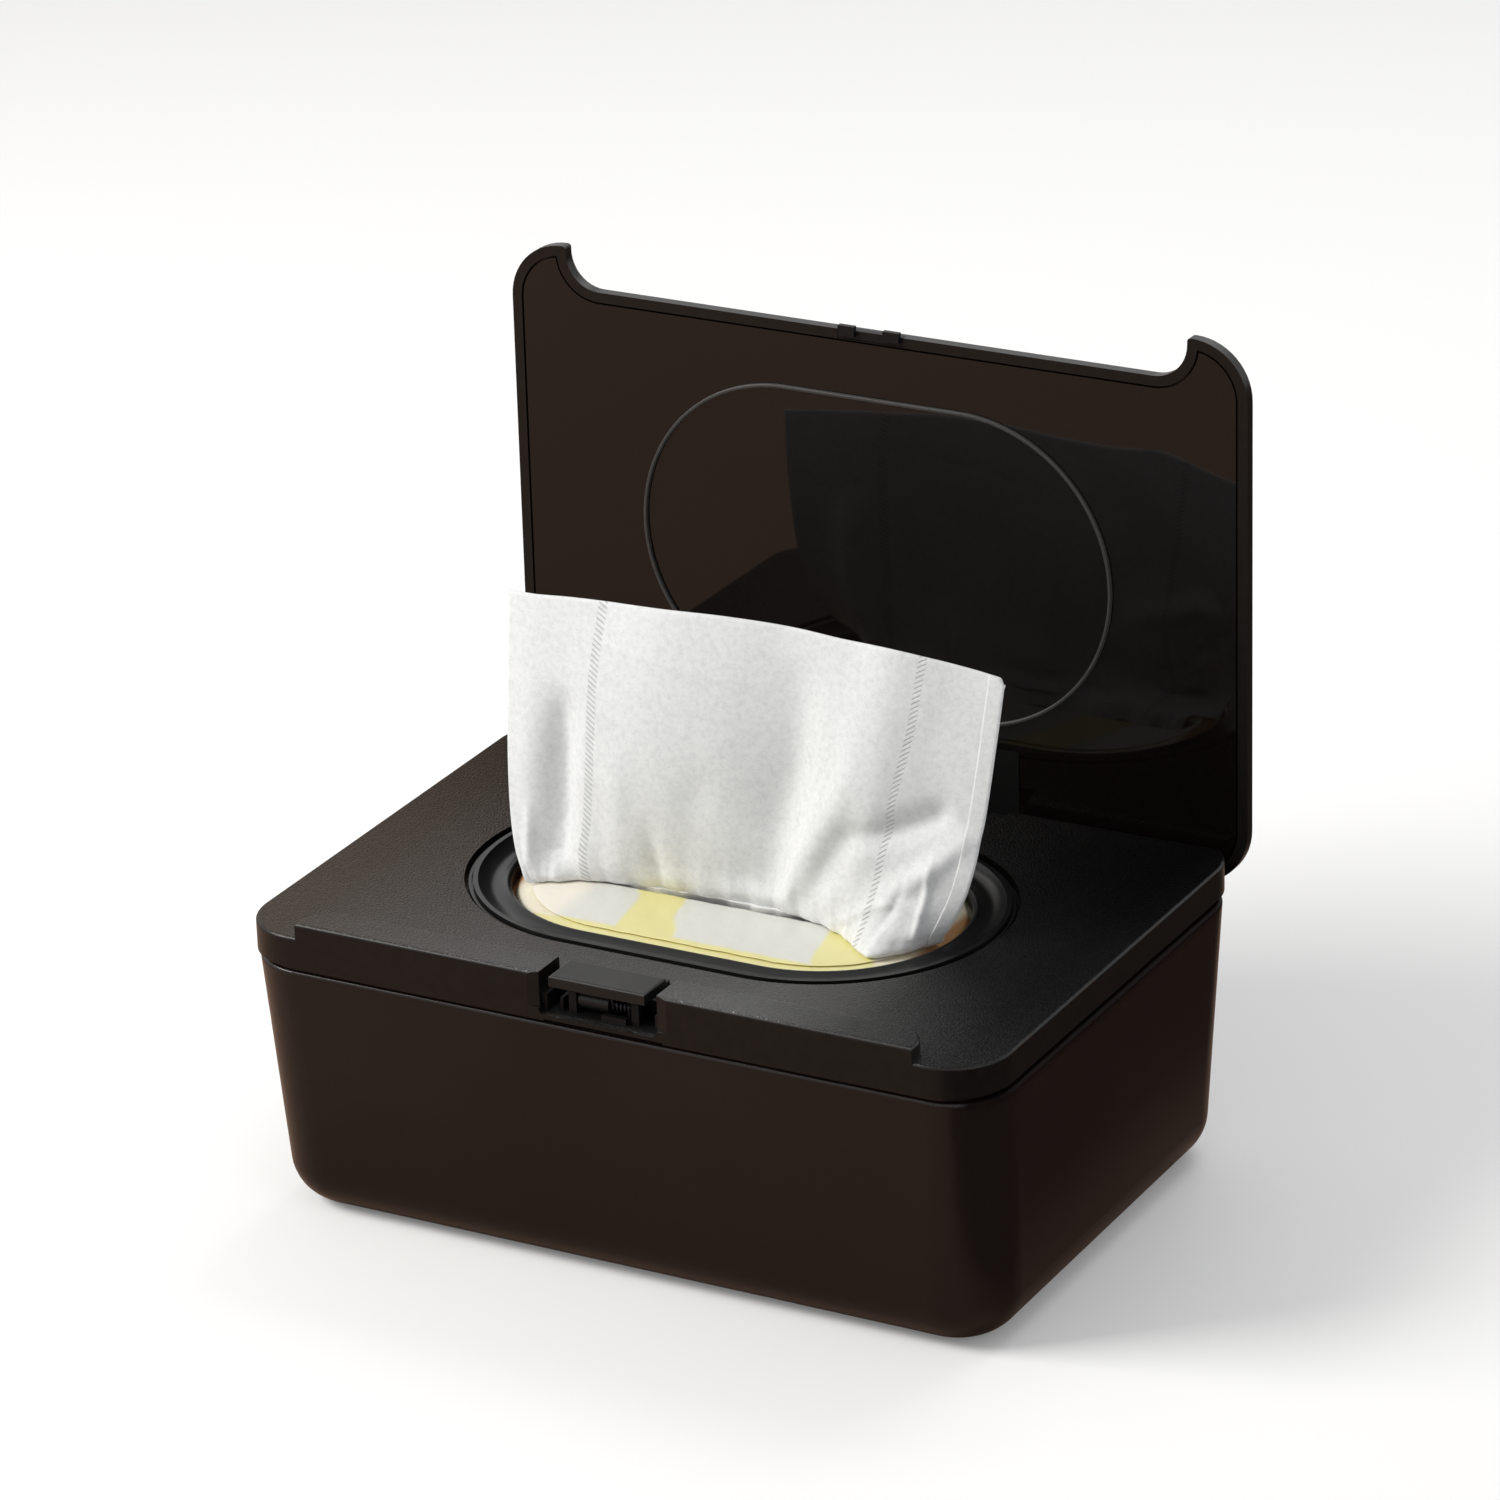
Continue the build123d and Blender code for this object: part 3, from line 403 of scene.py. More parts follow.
def grained_abs(name, dark, light, roughness, facing, paints_deck_light=False):
    """ABS from an etched mould: leather pebbles, about 0.95 mm across, on the faces that
    point along facing, and plain satin on the others. A pebble's height rises smoothly from
    its edge, finer noise lies over it, and a slow noise bends the edges."""
    material, tree, shader = new_material(name)
    coordinates = add(tree, "TexCoord").outputs
    place = coordinates["Object"]
    aligned = add(
        tree, "VectorMath", {"operation": "DOT_PRODUCT"}, _0=coordinates["Normal"], _1=facing
    ).outputs["Value"]
    grained = add(tree, "MapRange", Value=aligned, From_Min=0.75, From_Max=0.97)
    warp = add(tree, "TexNoise", Vector=place, Scale=per_mm(2.2)).outputs["Color"]
    warped = add(
        tree, "MixRGB", {"blend_type": "LINEAR_LIGHT"}, Fac=0.0006, Color1=place, Color2=warp
    )
    pebbles = add(
        tree, "TexVoronoi", {"feature": "DISTANCE_TO_EDGE"}, Vector=warped, Scale=per_mm(0.95)
    )
    rounded = add(tree, "MapRange", SMOOTHLY, Value=pebbles, From_Max=0.28)
    fine = add(tree, "TexNoise", Vector=place, Scale=per_mm(0.35))
    height = add(tree, "MixRGB", Fac=0.3, Color1=rounded, Color2=fine)
    masked = add(tree, "Math", TIMES, _0=height, _1=grained)
    patches = add(tree, "TexNoise", Vector=place, Scale=per_mm(3), Detail=4)
    even = add(tree, "ValToRGB", tones(dark, light, 0.25, 0.75), Fac=patches)
    feed(
        tree,
        shader,
        Base_Color=even,
        Roughness=add(
            tree, "MapRange", Value=grained, To_Min=roughness * 0.75, To_Max=roughness
        ),
        Specular_IOR_Level=SMOOTH_LEVEL,
        Normal=add(tree, "Bump", Height=masked, Distance=0.19 * MM),
    )
    # Painted light on the deck: its colour and gloss are set by place.
    if paints_deck_light:
        colour, gloss = painted_deck_light(tree, place, grained, even, light)
        feed(tree, shader, Base_Color=colour, Specular_IOR_Level=gloss)
    return material


UP, BACKWARDS = (0, 0, 1), (0, 1, 0)
cover_finish = grained_abs("grained_abs_cover", "#0d0b0a", "#14110f", 0.4, UP, paints_deck_light=True)
lid_finish = grained_abs("grained_abs_lid", "#0f0d0b", "#151210", 0.4, BACKWARDS)
print("grained finishes", cover_finish.name, lid_finish.name)

# %% [markdown]
# ## Satin plastic
#
# A fine spark-eroded mould gives the ring and the button a quiet satin. The parts of the
# latch and the hinge arms are acetal, which slides well and is a little duller. One
# function makes both, with a grit of about 0.3 to 0.5 mm that spreads the highlights.

# %% Spark-eroded mould


def satin_abs(name, dark, light, roughness, grit_mm=0.3, level=0.3):
    """ABS from a spark-eroded mould: a very fine grit that spreads the highlights."""
    material, tree, shader = new_material(name)
    place = add(tree, "TexCoord").outputs["Object"]
    cloud = add(tree, "TexNoise", Vector=place, Scale=per_mm(8), Detail=3)
    grit = add(tree, "TexNoise", Vector=place, Scale=per_mm(grit_mm))
    feed(
        tree,
        shader,
        Base_Color=add(tree, "ValToRGB", tones(dark, light), Fac=cloud),
        Roughness=roughness,
        Specular_IOR_Level=level,
        Normal=add(tree, "Bump", Height=grit, Distance=0.012 * MM),
    )
    return material


ring_finish = satin_abs("satin_abs_ring", "#0f0f0f", "#141414", 0.28)
button_finish = satin_abs("satin_abs_button", "#111010", "#171615", 0.36)
inner_finish = satin_abs("moulded_acetal", "#0a0a0a", "#100f0f", 0.45, grit_mm=0.5, level=0.2)
print("satin finishes", ring_finish.name, button_finish.name, inner_finish.name)

# %% [markdown]
# ## Rubber and steel
#
# The thin bead on the liner is soft rubber, which is matt and holds a little dust. The pins
# are blackened steel with fine lines round them, and the springs are drawn wire with an
# oily look. Both metals keep the default index of refraction.

# %% Rubber and steel


def bead_rubber():
    """Thermoplastic rubber: dull and very slightly mottled, with a soft sheen."""
    material, tree, shader = new_material("soft_rubber_bead")
    place = add(tree, "TexCoord").outputs["Object"]
    mottle = add(tree, "TexNoise", Vector=place, Scale=per_mm(1.2), Detail=4)
    dust = add(tree, "TexNoise", Vector=place, Scale=per_mm(0.4))
    feed(
        tree,
        shader,
        Base_Color=add(tree, "ValToRGB", tones("#242322", "#302f2d"), Fac=mottle),
        Roughness=0.5,
        Sheen_Weight=0.15,
        Normal=add(tree, "Bump", Height=dust, Distance=0.01 * MM),
    )
    return material


def steel(name, shade, roughness, stretch):
    """Blackened or drawn steel: fine lines made by noise that has its own scale along each
    axis."""
    material, tree, shader = new_material(name)
    place = add(tree, "TexCoord").outputs["Object"]
    squeezed = add(tree, "Mapping", Vector=place, Scale=stretch)
    lines = add(tree, "TexNoise", Vector=squeezed, Scale=per_mm(1), Detail=3)
    feed(
        tree,
        shader,
        Base_Color=linear(shade),
        Metallic=1.0,
        Roughness=add(
            tree, "MapRange", Value=lines, To_Min=roughness * 0.7, To_Max=roughness * 1.4
        ),
        Normal=add(tree, "Bump", Height=lines, Distance=0.004 * MM),
    )
    return material


bead_finish = bead_rubber()
pin_finish = steel("blackened_steel_pin", "#2e2e31", 0.35, (12, 1, 1))
wire_finish = steel("drawn_spring_wire", "#303034", 0.4, (3, 3, 3))
print("metals", pin_finish.name, wire_finish.name)

# %% [markdown]
# ## Finishes on the hard pieces
#
# Each hard piece of the frame gets one finish. A dictionary keeps the pairs in sight, and a
# loop takes off what came with the mesh and puts the finish on.

# %% Put the finishes on
FINISHES = {
    "tub": tub_finish,
    "cover_frame": cover_finish,
    "opening_ring": ring_finish,
    "latch_bracket": inner_finish,
    "push_button": button_finish,
    "lid_shell": lid_finish,
    "lid_liner": liner_finish,
    "lid_catch": inner_finish,
    "hinge_arm_left": inner_finish,
    "hinge_arm_right": inner_finish,
    "seal_bead": bead_finish,
    "hinge_pin_left": pin_finish,
    "hinge_pin_right": pin_finish,
    "button_pin": pin_finish,
    "lid_spring_left": wire_finish,
    "lid_spring_right": wire_finish,
    "button_spring": wire_finish,
}
for node_name, finish in FINISHES.items():
    piece = nodes[node_name]
    piece.data.materials.clear()
    piece.data.materials.append(finish)
print("finishes on", len(FINISHES), "nodes")

# %% [markdown]
# ## Surfaces from grids
#
# Film, paper and cloth have no straight edges to model from. Each one is a grid of points
# instead, rows by columns, worked out as one array. A smooth grid grows from a small net of
# points that can be measured on the photograph. The same function closes each grid into a
# solid skin, so that every face has an outside.

# %% Grid surfaces


def smooth(knots, count):
    """A curve through the rows of a net of knots, as count rows. Between two rows p1 and p2,
    with p0 and p3 beyond them and t from 0 to 1, a place is half of 2 p1 + (p2 - p0) t +
    (2 p0 - 5 p1 + 4 p2 - p3) t^2 + (3 p1 - p0 - 3 p2 + p3) t^3."""
    knots = np.asarray(knots, float)
    padded = np.concatenate([2 * knots[:1] - knots[1:2], knots, 2 * knots[-1:] - knots[-2:-1]])
    places = np.linspace(0, len(knots) - 1, count)
    start = np.minimum(places.astype(int), len(knots) - 2)
    t = (places - start).reshape(-1, *[1] * (knots.ndim - 1))
    p0, p1, p2, p3 = (padded[start + step] for step in range(4))
    return (
        2 * p1
        + (p2 - p0) * t
        + (2 * p0 - 5 * p1 + 4 * p2 - p3) * t**2
        + (3 * p1 - p0 - 3 * p2 + p3) * t**3
    ) / 2


def closed_skin(name, rings, ends, finish, marks=None):
    """A mesh of rings by points in millimetres, closed round each ring. Each end is closed by
    a fan to the ring's centre, by a seam that joins a flat ring's two halves, or by a loop
    that leads the last ring back to the first. Each face adds its corner a times (b cross c
    plus c cross d) to the volume, and where that comes out negative every face is turned.
    Marks are a value pair for each point, kept as the UV map."""
    rows, columns = rings.shape[:2]
    index = np.arange(rows * columns).reshape(rows, columns)
    looped = np.hstack([index, index[:, :1]])
    if ends == "loop":
        looped = np.vstack([looped, looped[:1]])
    quads = np.stack([looped[:-1, :-1], looped[:-1, 1:], looped[1:, 1:], looped[1:, :-1]], -1)
    quads = quads.reshape(-1, 4)
    patches = [quads]
    points = rings.reshape(-1, 3)
    open_ends = () if ends == "loop" else ((0, -1), (-1, 1))
    for row, turn in open_ends:
        if ends == "seam":
            half = columns // 2
            there = index[row, : half - 1], index[row, 1:half]
            back = index[row, ::-1][: half - 1], index[row, ::-1][1:half]
            caps = np.stack([there[0], there[1], back[1], back[0]], -1)
        else:
            centre = np.full(columns, len(points))
            points = np.vstack([points, rings[row].mean(0)])
            caps = np.stack([looped[row, :-1], looped[row, 1:], centre], -1)
        patches.append(caps[:, ::turn])
    a, b, c, d = np.moveaxis(points[quads], 1, 0)
    volume = (a * (np.cross(b, c) + np.cross(c, d))).sum()
    outwards = -1 if volume < 0 else 1
    faces = sum((patch[:, ::outwards].tolist() for patch in patches), [])
    mesh = bpy.data.meshes.new(name)
    mesh.from_pydata((points * MM).tolist(), [], faces)
    mesh.shade_smooth()
    if marks is not None:
        corner_points = np.zeros(len(mesh.loops), int)
        mesh.loops.foreach_get("vertex_index", corner_points)
        layer = mesh.uv_layers.new(name="marks")
        layer.data.foreach_set("uv", marks.reshape(-1, 2)[corner_points].ravel())
    mesh.materials.append(finish)
    thing = bpy.data.objects.new(name, mesh)
    bpy.context.scene.collection.objects.link(thing)
    return thing


def rounded_ring(half_length, half_depth, corner, height, centre_y=0.0, points=384):
    """A level rounded rectangle. A point's angle goes evenly round. Its direction picks the
    corner's centre, and the corner radius reaches out from there along a direction that turns
    evenly, so that straights and corners share out the points by length."""
    straight_x = half_length - corner
    straight_y = half_depth - corner
    quarter = np.pi / 2 * corner
    lengths = np.tile([2 * straight_y, quarter, 2 * straight_x, quarter], 2)[1:]
    lengths = np.concatenate([[straight_y], lengths, [straight_y]])
    knots = np.concatenate([[0], np.cumsum(lengths)])
    turns = np.array([0, 0, 1, 1, 2, 2, 3, 3, 4, 4]) * np.pi / 2
    across = np.array([1, 1, 1, -1, -1, -1, -1, 1, 1, 1]) * straight_x
    along = np.array([0, 1, 1, 1, 1, -1, -1, -1, -1, 0]) * straight_y
    place = np.linspace(0, knots[-1], points, endpoint=False)
    angle = np.interp(place, knots, turns)
    x = np.interp(place, knots, across) + corner * np.cos(angle)
    y = np.interp(place, knots, along) + corner * np.sin(angle)
    return np.stack([x, y + centre_y, np.full(points, height)], -1)


CREASE_WAVES = 6


def crinkle(x, y, size, seed):
    """Creased film: waves of random direction are added, each one minus the absolute sine of
    its phase, so that it has sharp ridges. A slow wave bends each phase. From 0 to 1."""
    draw = np.random.default_rng(seed)
    total = np.zeros_like(x)
    for step in range(CREASE_WAVES):
        angle, phase, bend = draw.uniform(0, 2 * np.pi, 3)
        wave = np.pi / (size * (0.7 + 0.25 * step))
        along = wave * (x * np.cos(angle) + y * np.sin(angle))
        swirl = 1.3 * np.sin(0.31 * wave * (x * np.sin(angle) - y * np.cos(angle)) + bend)
        total += 1 - np.abs(np.sin(along + swirl + phase))
    return total / CREASE_WAVES


print("rounded ring", rounded_ring(60, 30, 12, 5).shape)

# %% [markdown]
# ## Printed film
#
# The refill is a pillow of printed plastic film, and a label is stuck round its slot. Both
# carry soft flat tints under a clear lacquer. Bands that bend a little, set by how far a
# point lies from the middle, are enough for such a print. Broad creases in the bump break up
# the highlights.

# %% Film and label finish
BAND_HALF = 0.027
BAND_SLANT, BAND_SWAY = 0.35, -0.012


def printed_film(name, shades, roughness, creases):
    """Laminated film or label stock, printed in soft flat tints. The shades are the middle's,
    the sides', that of two patches and a strip along the front, and that of both ends. A
    patch lies where x plus the slant times y plus a slow noise times the sway, folded to and
    fro at the band's half width, passes 20 mm. Clear lacquer gives the print its gloss."""
    middle, sides, patch, ends = (linear(shade) for shade in shades)
    material, tree, shader = new_material(name)
    place = add(tree, "TexCoord").outputs["Object"]
    axes = add(tree, "SeparateXYZ", Vector=place).outputs
    reach = add(tree, "Math", {"operation": "ABSOLUTE"}, _0=axes["X"])
    front = add(tree, "Math", TIMES, _0=axes["Y"], _1=-1.0)
    sway = add(tree, "TexNoise", Vector=place, Scale=per_mm(26), Detail=1)
    slanted = add(tree, "Math", TIMES_PLUS, _0=axes["Y"], _1=BAND_SLANT, _2=axes["X"])
    bent = add(tree, "Math", TIMES_PLUS, _0=sway, _1=BAND_SWAY, _2=slanted)
    bands = add(tree, "Math", {"operation": "PINGPONG"}, _0=bent, _1=BAND_HALF)

    def edge(value, start, stop):
        """Rises smoothly from 0 to 1 between two places in metres."""
        return add(tree, "MapRange", SMOOTHLY, Value=value, From_Min=start, From_Max=stop)

    def over(below, share, shade):
        """Lays a shade over a colour by a share."""
        return add(tree, "MixRGB", Fac=share, Color1=below, Color2=shade)

    strip = edge(front, 0.027, 0.0285)
    tint = add(tree, "Math", LARGER, _0=edge(bands, 0.0185, 0.0205), _1=strip)
    printed = over(over(middle, edge(reach, 0.032, 0.04), sides), tint, patch)
    folded = add(tree, "TexNoise", Vector=place, Scale=per_mm(5), Detail=3, Roughness=0.6)
    feed(
        tree,
        shader,
        Base_Color=over(printed, edge(reach, 0.0515, 0.0545), ends),
        Roughness=roughness,
        Coat_Weight=0.25,
        Coat_Roughness=0.12,
        Normal=add(tree, "Bump", Height=folded, Distance=creases * MM),
    )
    return material


FILM_SHADES = ("#efeadb", "#f2ead2", "#ebe3a2", "#b98a5c")
# The label's middle is greyer than its sides: partly the blank stock, partly painted shade where
# the wipe stands over it.
LABEL_SHADES = ("#e0e0da", "#f5efe2", "#e9e19c", "#f3ead6")
film_finish = printed_film("laminated_film", FILM_SHADES, 0.3, 0.5)
label_finish = printed_film("label_stock", LABEL_SHADES, 0.38, 0.22)
print("printed finishes", film_finish.name, label_finish.name)

# %% [markdown]
# ## Pillow of film
#
# The film's top bulges up into the ring of the cover, and a slot is cut there. A box with a
# film material would look right only from straight above. A skin that is lofted through
# rounded rings, from the slot over the bulge and down to the bottom, also holds up where the
# cover is lifted. Creases run over it by a ridged wave, and a second skin inside gives the
# film its thickness.

# %% Film of the pack
SLOT_Y = -0.7
FILM = 0.12
# Half length, half depth, corner radius, height and centre of each ring, from the slot out.
FILM_PROFILE = [
    (52.0, 5.2, 5.2, 71.9, SLOT_Y),
    (52.0, 5.2, 5.2, 73.3, SLOT_Y),
    (53.5, 12.0, 12.0, 73.45, SLOT_Y),
    (55.0, 27.0, 27.0, 73.4, SLOT_Y),
    (56.6, 32.6, 32.6, 73.1, SLOT_Y),
    (57.4, 33.5, 33.5, 71.9, SLOT_Y),
    (58.4, 34.6, 33.0, 70.3, SLOT_Y * 0.6),
    (66.0, 40.0, 28.0, 69.9, 0.0),
    (78.0, 47.0, 18.0, 69.4, 0.0),
    (85.6, 51.6, 14.0, 66.4, 0.0),
    (88.2, 53.7, 13.6, 59.0, 0.0),
    (89.6, 53.9, 13.6, 46.0, 0.0),
    (89.9, 53.9, 13.6, 33.0, 0.0),
    (89.2, 53.8, 13.6, 20.0, 0.0),
    (86.0, 52.4, 13.6, 8.6, 0.0),
    (79.0, 46.5, 12.0, 3.4, 0.0),
    (60.0, 30.0, 10.0, 2.7, 0.0),
    (20.0, 10.0, 6.0, 2.7, 0.0),
]
FILM_ROWS, INSIDE_ROWS = 150, 80
BULGE_FROM, PACK_MIDDLE = 69, 36
TOP_CREASE, END_CREASE, SIDE_CREASE, PINCH = 0.28, 1.1, 1.5, 1.6


def film_rings(profile, inset, rows):
    """Rings of a profile of half length, half depth, corner radius, height and centre, made
    smooth between its rows. An inset draws the ring in and lowers the upper side. The film
    gives way inwards by the crinkle, more at the pack's ends, and hardly near the slot."""
    dense = smooth(profile, rows)
    rings = np.stack(
        [
            rounded_ring(
                half_length - inset,
                half_depth - inset,
                max(min(corner, half_depth) - inset, 0.5),
                height,
                centre,
            )
            for half_length, half_depth, corner, height, centre in dense
        ]
    )
    x, y, z = np.moveaxis(rings, -1, 0)
    upper = np.clip((z - BULGE_FROM) / 2, 0, 1)
    inwards = np.where(z > PACK_MIDDLE, -1, 1)
    shift = inset * inwards * np.clip(np.abs(z - PACK_MIDDLE) / 30, 0, 1)
    top_dip = TOP_CREASE * crinkle(x, y, 9, 3) * upper
    top_dip = top_dip + END_CREASE * crinkle(x, y, 15, 4) * (1 - upper)
    around = np.arctan2(y * 1.6, x)
    side_dip = SIDE_CREASE * crinkle(around * 60, z * 0.45, 11, 5) * (1 - upper)
    side_dip = side_dip * np.clip(z / 12, 0, 1)
    pinch = np.clip((np.abs(x) - 70) / 20, 0, 1) * (1 - upper)
    scale = 1 - (side_dip + PINCH * pinch * crinkle(y, z * 0.2, 7, 6)) / 95
    dip = top_dip * np.where(z > PACK_MIDDLE, 1, -0.3)
    return np.stack([x * scale, y * scale, z + shift - dip], -1)


film_outside = film_rings(FILM_PROFILE, 0.0, FILM_ROWS)
film_inside = film_rings(FILM_PROFILE, FILM, INSIDE_ROWS)
film_skin = np.concatenate([film_inside[::-1], film_outside])
pouch = closed_skin("wipes_pouch_film", film_skin, "fan", film_finish)
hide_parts("wipes_pouch")
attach(pouch, "tub")
print("film faces", len(pouch.data.polygons))

# %% [markdown]
# ## End fins
#
# Each end of the pack is crimped into a flat fin with fine ribs and a zigzag cut edge. The
# ribs and the edge are real geometry, since they show against the tub when it is open, and
# the fin waves a little because it is only held along one side.

# %% Fins
FIN_HALF, FIN_COLUMNS, FIN_ROWS = 41, 330, 14
FIN_ROOT, FIN_LENGTH, FIN_HEIGHT, FIN_HALF_THICKNESS = 88.6, 4.4, 33.1, 0.16
TOOTH, TOOTH_DEPTH, RIB, RIB_HEIGHT = 1.6, 0.9, 0.9, 0.14


def fin_rings(side):
    """Half of a flat ring for each row from the film out to the cut edge, upper side and
    lower side. The height waves with the ribs, and the edge is cut to a zigzag."""
    across = np.linspace(-FIN_HALF, FIN_HALF, FIN_COLUMNS)
    out = np.linspace(0, 1, FIN_ROWS)[:, None]
    zigzag = np.abs((across / TOOTH) % 2 - 1) * TOOTH_DEPTH
    x = FIN_ROOT + out * (FIN_LENGTH + zigzag)
    rib = RIB_HEIGHT * np.sin(x * 2 * np.pi / RIB)
    wave = 1.3 * np.sin(across / 13) * out + 0.4 * np.sin(across / 4.1 + 1) * out
    middle = FIN_HEIGHT + wave + rib
    y = np.broadcast_to(across, x.shape)
    upper = np.stack([side * x, y, middle + FIN_HALF_THICKNESS], -1)
    lower = np.stack([side * x, y, middle - FIN_HALF_THICKNESS], -1)
    return np.concatenate([upper, lower[:, ::-1]], 1)


for side, where in ((-1, "left"), (1, "right")):
    fin = closed_skin(f"pouch_fin_{where}", fin_rings(side), "seam", film_finish)
    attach(fin, "tub")
print("each fin in mm", 2 * FIN_HALF, "by", FIN_LENGTH + TOOTH_DEPTH)

# %% [markdown]
# ## Label
#
# The label is a ring of thin stock, stuck on round the slot. It follows the film below it,
# so its rings dip by the same creases, and its thickness is only a twentieth of a
# millimetre.

# %% Label
LABEL = 0.05
LABEL_ROWS = 40
LABEL_PROFILE = [
    (52.2, 5.6, 5.6, 73.66, SLOT_Y),
    (52.4, 13.0, 13.0, 73.8, SLOT_Y),
    (52.7, 22.0, 22.0, 73.84, SLOT_Y),
    (53.1, 29.2, 29.2, 73.72, SLOT_Y),
]


def label_rings(lift):
    """Rings from the slot out to the label's edge, lifted, and dipping as the film does."""
    profile = smooth(LABEL_PROFILE, LABEL_ROWS)
    rings = np.stack([rounded_ring(*row[:4], row[4]) for row in profile])
    x, y, z = np.moveaxis(rings, -1, 0)
    return np.stack([x, y, z + lift - TOP_CREASE * crinkle(x, y, 9, 3)], -1)


label_band = np.concatenate([label_rings(LABEL), label_rings(0)[::-1]])
label = closed_skin("pouch_label_stock", label_band, "loop", label_finish)
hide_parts("pouch_label")
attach(label, "tub")
print("label faces", len(label.data.polygons))

# %% [markdown]
# ## Nonwoven cloth
#
# Baby wipes are wet-laid viscose: tangled fibres without a weave. The eye reads them as a
# cloudy white with a faint fuzz, so two sizes of noise are enough. The two rows of slanted
# bond marks are pressed in, and follow the sheet where it bends. They are therefore read
# from the sheet's own UV map, in metres, with one mark every 1.3 mm. Their dashes are also
# darkened in colour, a painted shade in the pressed marks.

# %% Nonwoven finish
BOND_HALF, BOND_EDGE = 0.001, 0.0013
BOND_STEP = 0.00066
BOND_LEANS = (0.6, -0.6)


def bond_marks(tree, seams):
    """Dashes along each seam: inside falls from 1 to 0 past the seam's half width, and a
    zigzag of the height, slanted by the distance across, cuts it into dashes."""
    sheet_place = add(tree, "UVMap", {"uv_map": "marks"})
    axes = add(tree, "SeparateXYZ", Vector=sheet_place).outputs
    rows = []
    for seam, lean in zip(seams, BOND_LEANS):
        offset = add(tree, "Math", {"operation": "SUBTRACT"}, _0=axes["X"], _1=seam * MM)
        distance = add(tree, "Math", {"operation": "ABSOLUTE"}, _0=offset)
        inside = add(
            tree,
            "MapRange",
            Value=distance,
            From_Min=BOND_HALF,
            From_Max=BOND_EDGE,
            To_Min=1.0,
            To_Max=0.0,
        )
        slant = add(tree, "Math", TIMES_PLUS, _0=offset, _1=lean, _2=axes["Y"])
        stripe = add(tree, "Math", {"operation": "PINGPONG"}, _0=slant, _1=BOND_STEP)
        dash = add(tree, "MapRange", Value=stripe, From_Min=0.00038, From_Max=0.00055)
        rows.append(add(tree, "Math", TIMES, _0=inside, _1=dash))
    return add(tree, "Math", LARGER, _0=rows[0], _1=rows[1])


def nonwoven(name, seams=()):
    """Viscose nonwoven, wet-laid and soft: tangled fibres make a cloudy white with faint
    specks and a soft fuzz. Seams are places across the sheet in millimetres."""
    material, tree, shader = new_material(name)
    place = add(tree, "TexCoord").outputs["Object"]
    cloud = add(tree, "TexNoise", Vector=place, Scale=per_mm(1.5), Detail=6, Roughness=0.7)
    whites = [(0.3, linear("#dcdddf")), (0.52, linear("#e9eaeb")), (0.75, linear("#f1f2f3"))]
    shade = add(tree, "ValToRGB", {"stops": whites}, Fac=cloud)
    height = add(tree, "TexNoise", Vector=place, Scale=per_mm(0.45), Detail=5, Roughness=0.75)
    if seams:
        pressed = bond_marks(tree, seams)
        # Painted shade: the pressed dashes are darkened in colour.
        painted_dash_shade = add(tree, "Math", TIMES, _0=pressed, _1=0.48)
        shade = add(tree, "MixRGB", Fac=painted_dash_shade, Color1=shade, Color2=linear("#8c8c8a"))
        height = add(tree, "Math", {"operation": "SUBTRACT"}, _0=height, _1=pressed)
    feed(
        tree,
        shader,
        Base_Color=shade,
        Roughness=0.85,
        Specular_IOR_Level=0.25,
        Sheen_Weight=0.1,
        Normal=add(tree, "Bump", Height=height, Distance=0.09 * MM),
    )
    return material


stack_finish = nonwoven("wet_nonwoven_stack")
print("cloth finish", stack_finish.name)

# %% [markdown]
# ## Stack of wipes
#
# The stack is a block of folded wipes inside the pack. Its layers can be told apart at the
# sides, where each one bulges a little, and no two lie quite the same. Dozens of separate
# sheets would never be seen, so one skin shows all the layers.

# %% Folded stack
STACK_LAYERS, STACK_ROWS = 48, 5
STACK_FOOT, STACK_HEIGHT = 4.4, 62.4
STACK_HALF_LENGTH, STACK_HALF_DEPTH, STACK_CORNER = 79.5, 45.5, 11
STACK_ROUNDING, STACK_BULGE = 3.5, 0.45


def stack_rings():
    """Rounded rings going up the stack. Each layer bulges by the square root of a sine's
    size, and every layer is drawn in or out a little by two slow waves."""
    share = np.linspace(0, 1, STACK_LAYERS * STACK_ROWS + 1)
    bulge = np.sqrt(np.abs(np.sin(np.pi * share * STACK_LAYERS)))
    closing = np.clip(np.minimum(share, 1 - share) / 0.05, 0, 1) ** 0.5
    drift = 0.5 * np.sin(share * 41) + 0.4 * np.sin(share * 97 + 2)
    wider = STACK_ROUNDING * closing + STACK_BULGE * bulge + drift
    rings = np.stack(
        [
            rounded_ring(STACK_HALF_LENGTH + more, STACK_HALF_DEPTH + more, STACK_CORNER, height)
            for more, height in zip(wider, STACK_FOOT + STACK_HEIGHT * share)
        ]
    )
    return rings[:, ::2]


stack = closed_skin("wipes_stack_folded", stack_rings(), "fan", stack_finish)
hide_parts("wipes_stack")
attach(stack, "tub")
print("stack faces", len(stack.data.polygons))

# %% [markdown]
# ## The popped wipe
#
# A soft sheet stands out of the slot, spreads over the ring and leans on nothing but its own
# stiffness. It could be simulated, but a simulation would not fold where this one folds. A
# net of points was measured along the two bonded seams, the edges and the foot, and a smooth
# grid runs through it. Creases and hollows are then pushed in along lines. At the right the
# foot lies forward over the label, and the right edge is turned over into a narrow hem.

# %% Net of the wipe
# Place of each column across the flat sheet in mm, from its left edge, and of the seams.
across_sheet = np.array([0, 9, 17, 25, 41, 58, 75, 91, 103, 114, 121, 129, 138.5])
seam_places = (25.0, 114.0)
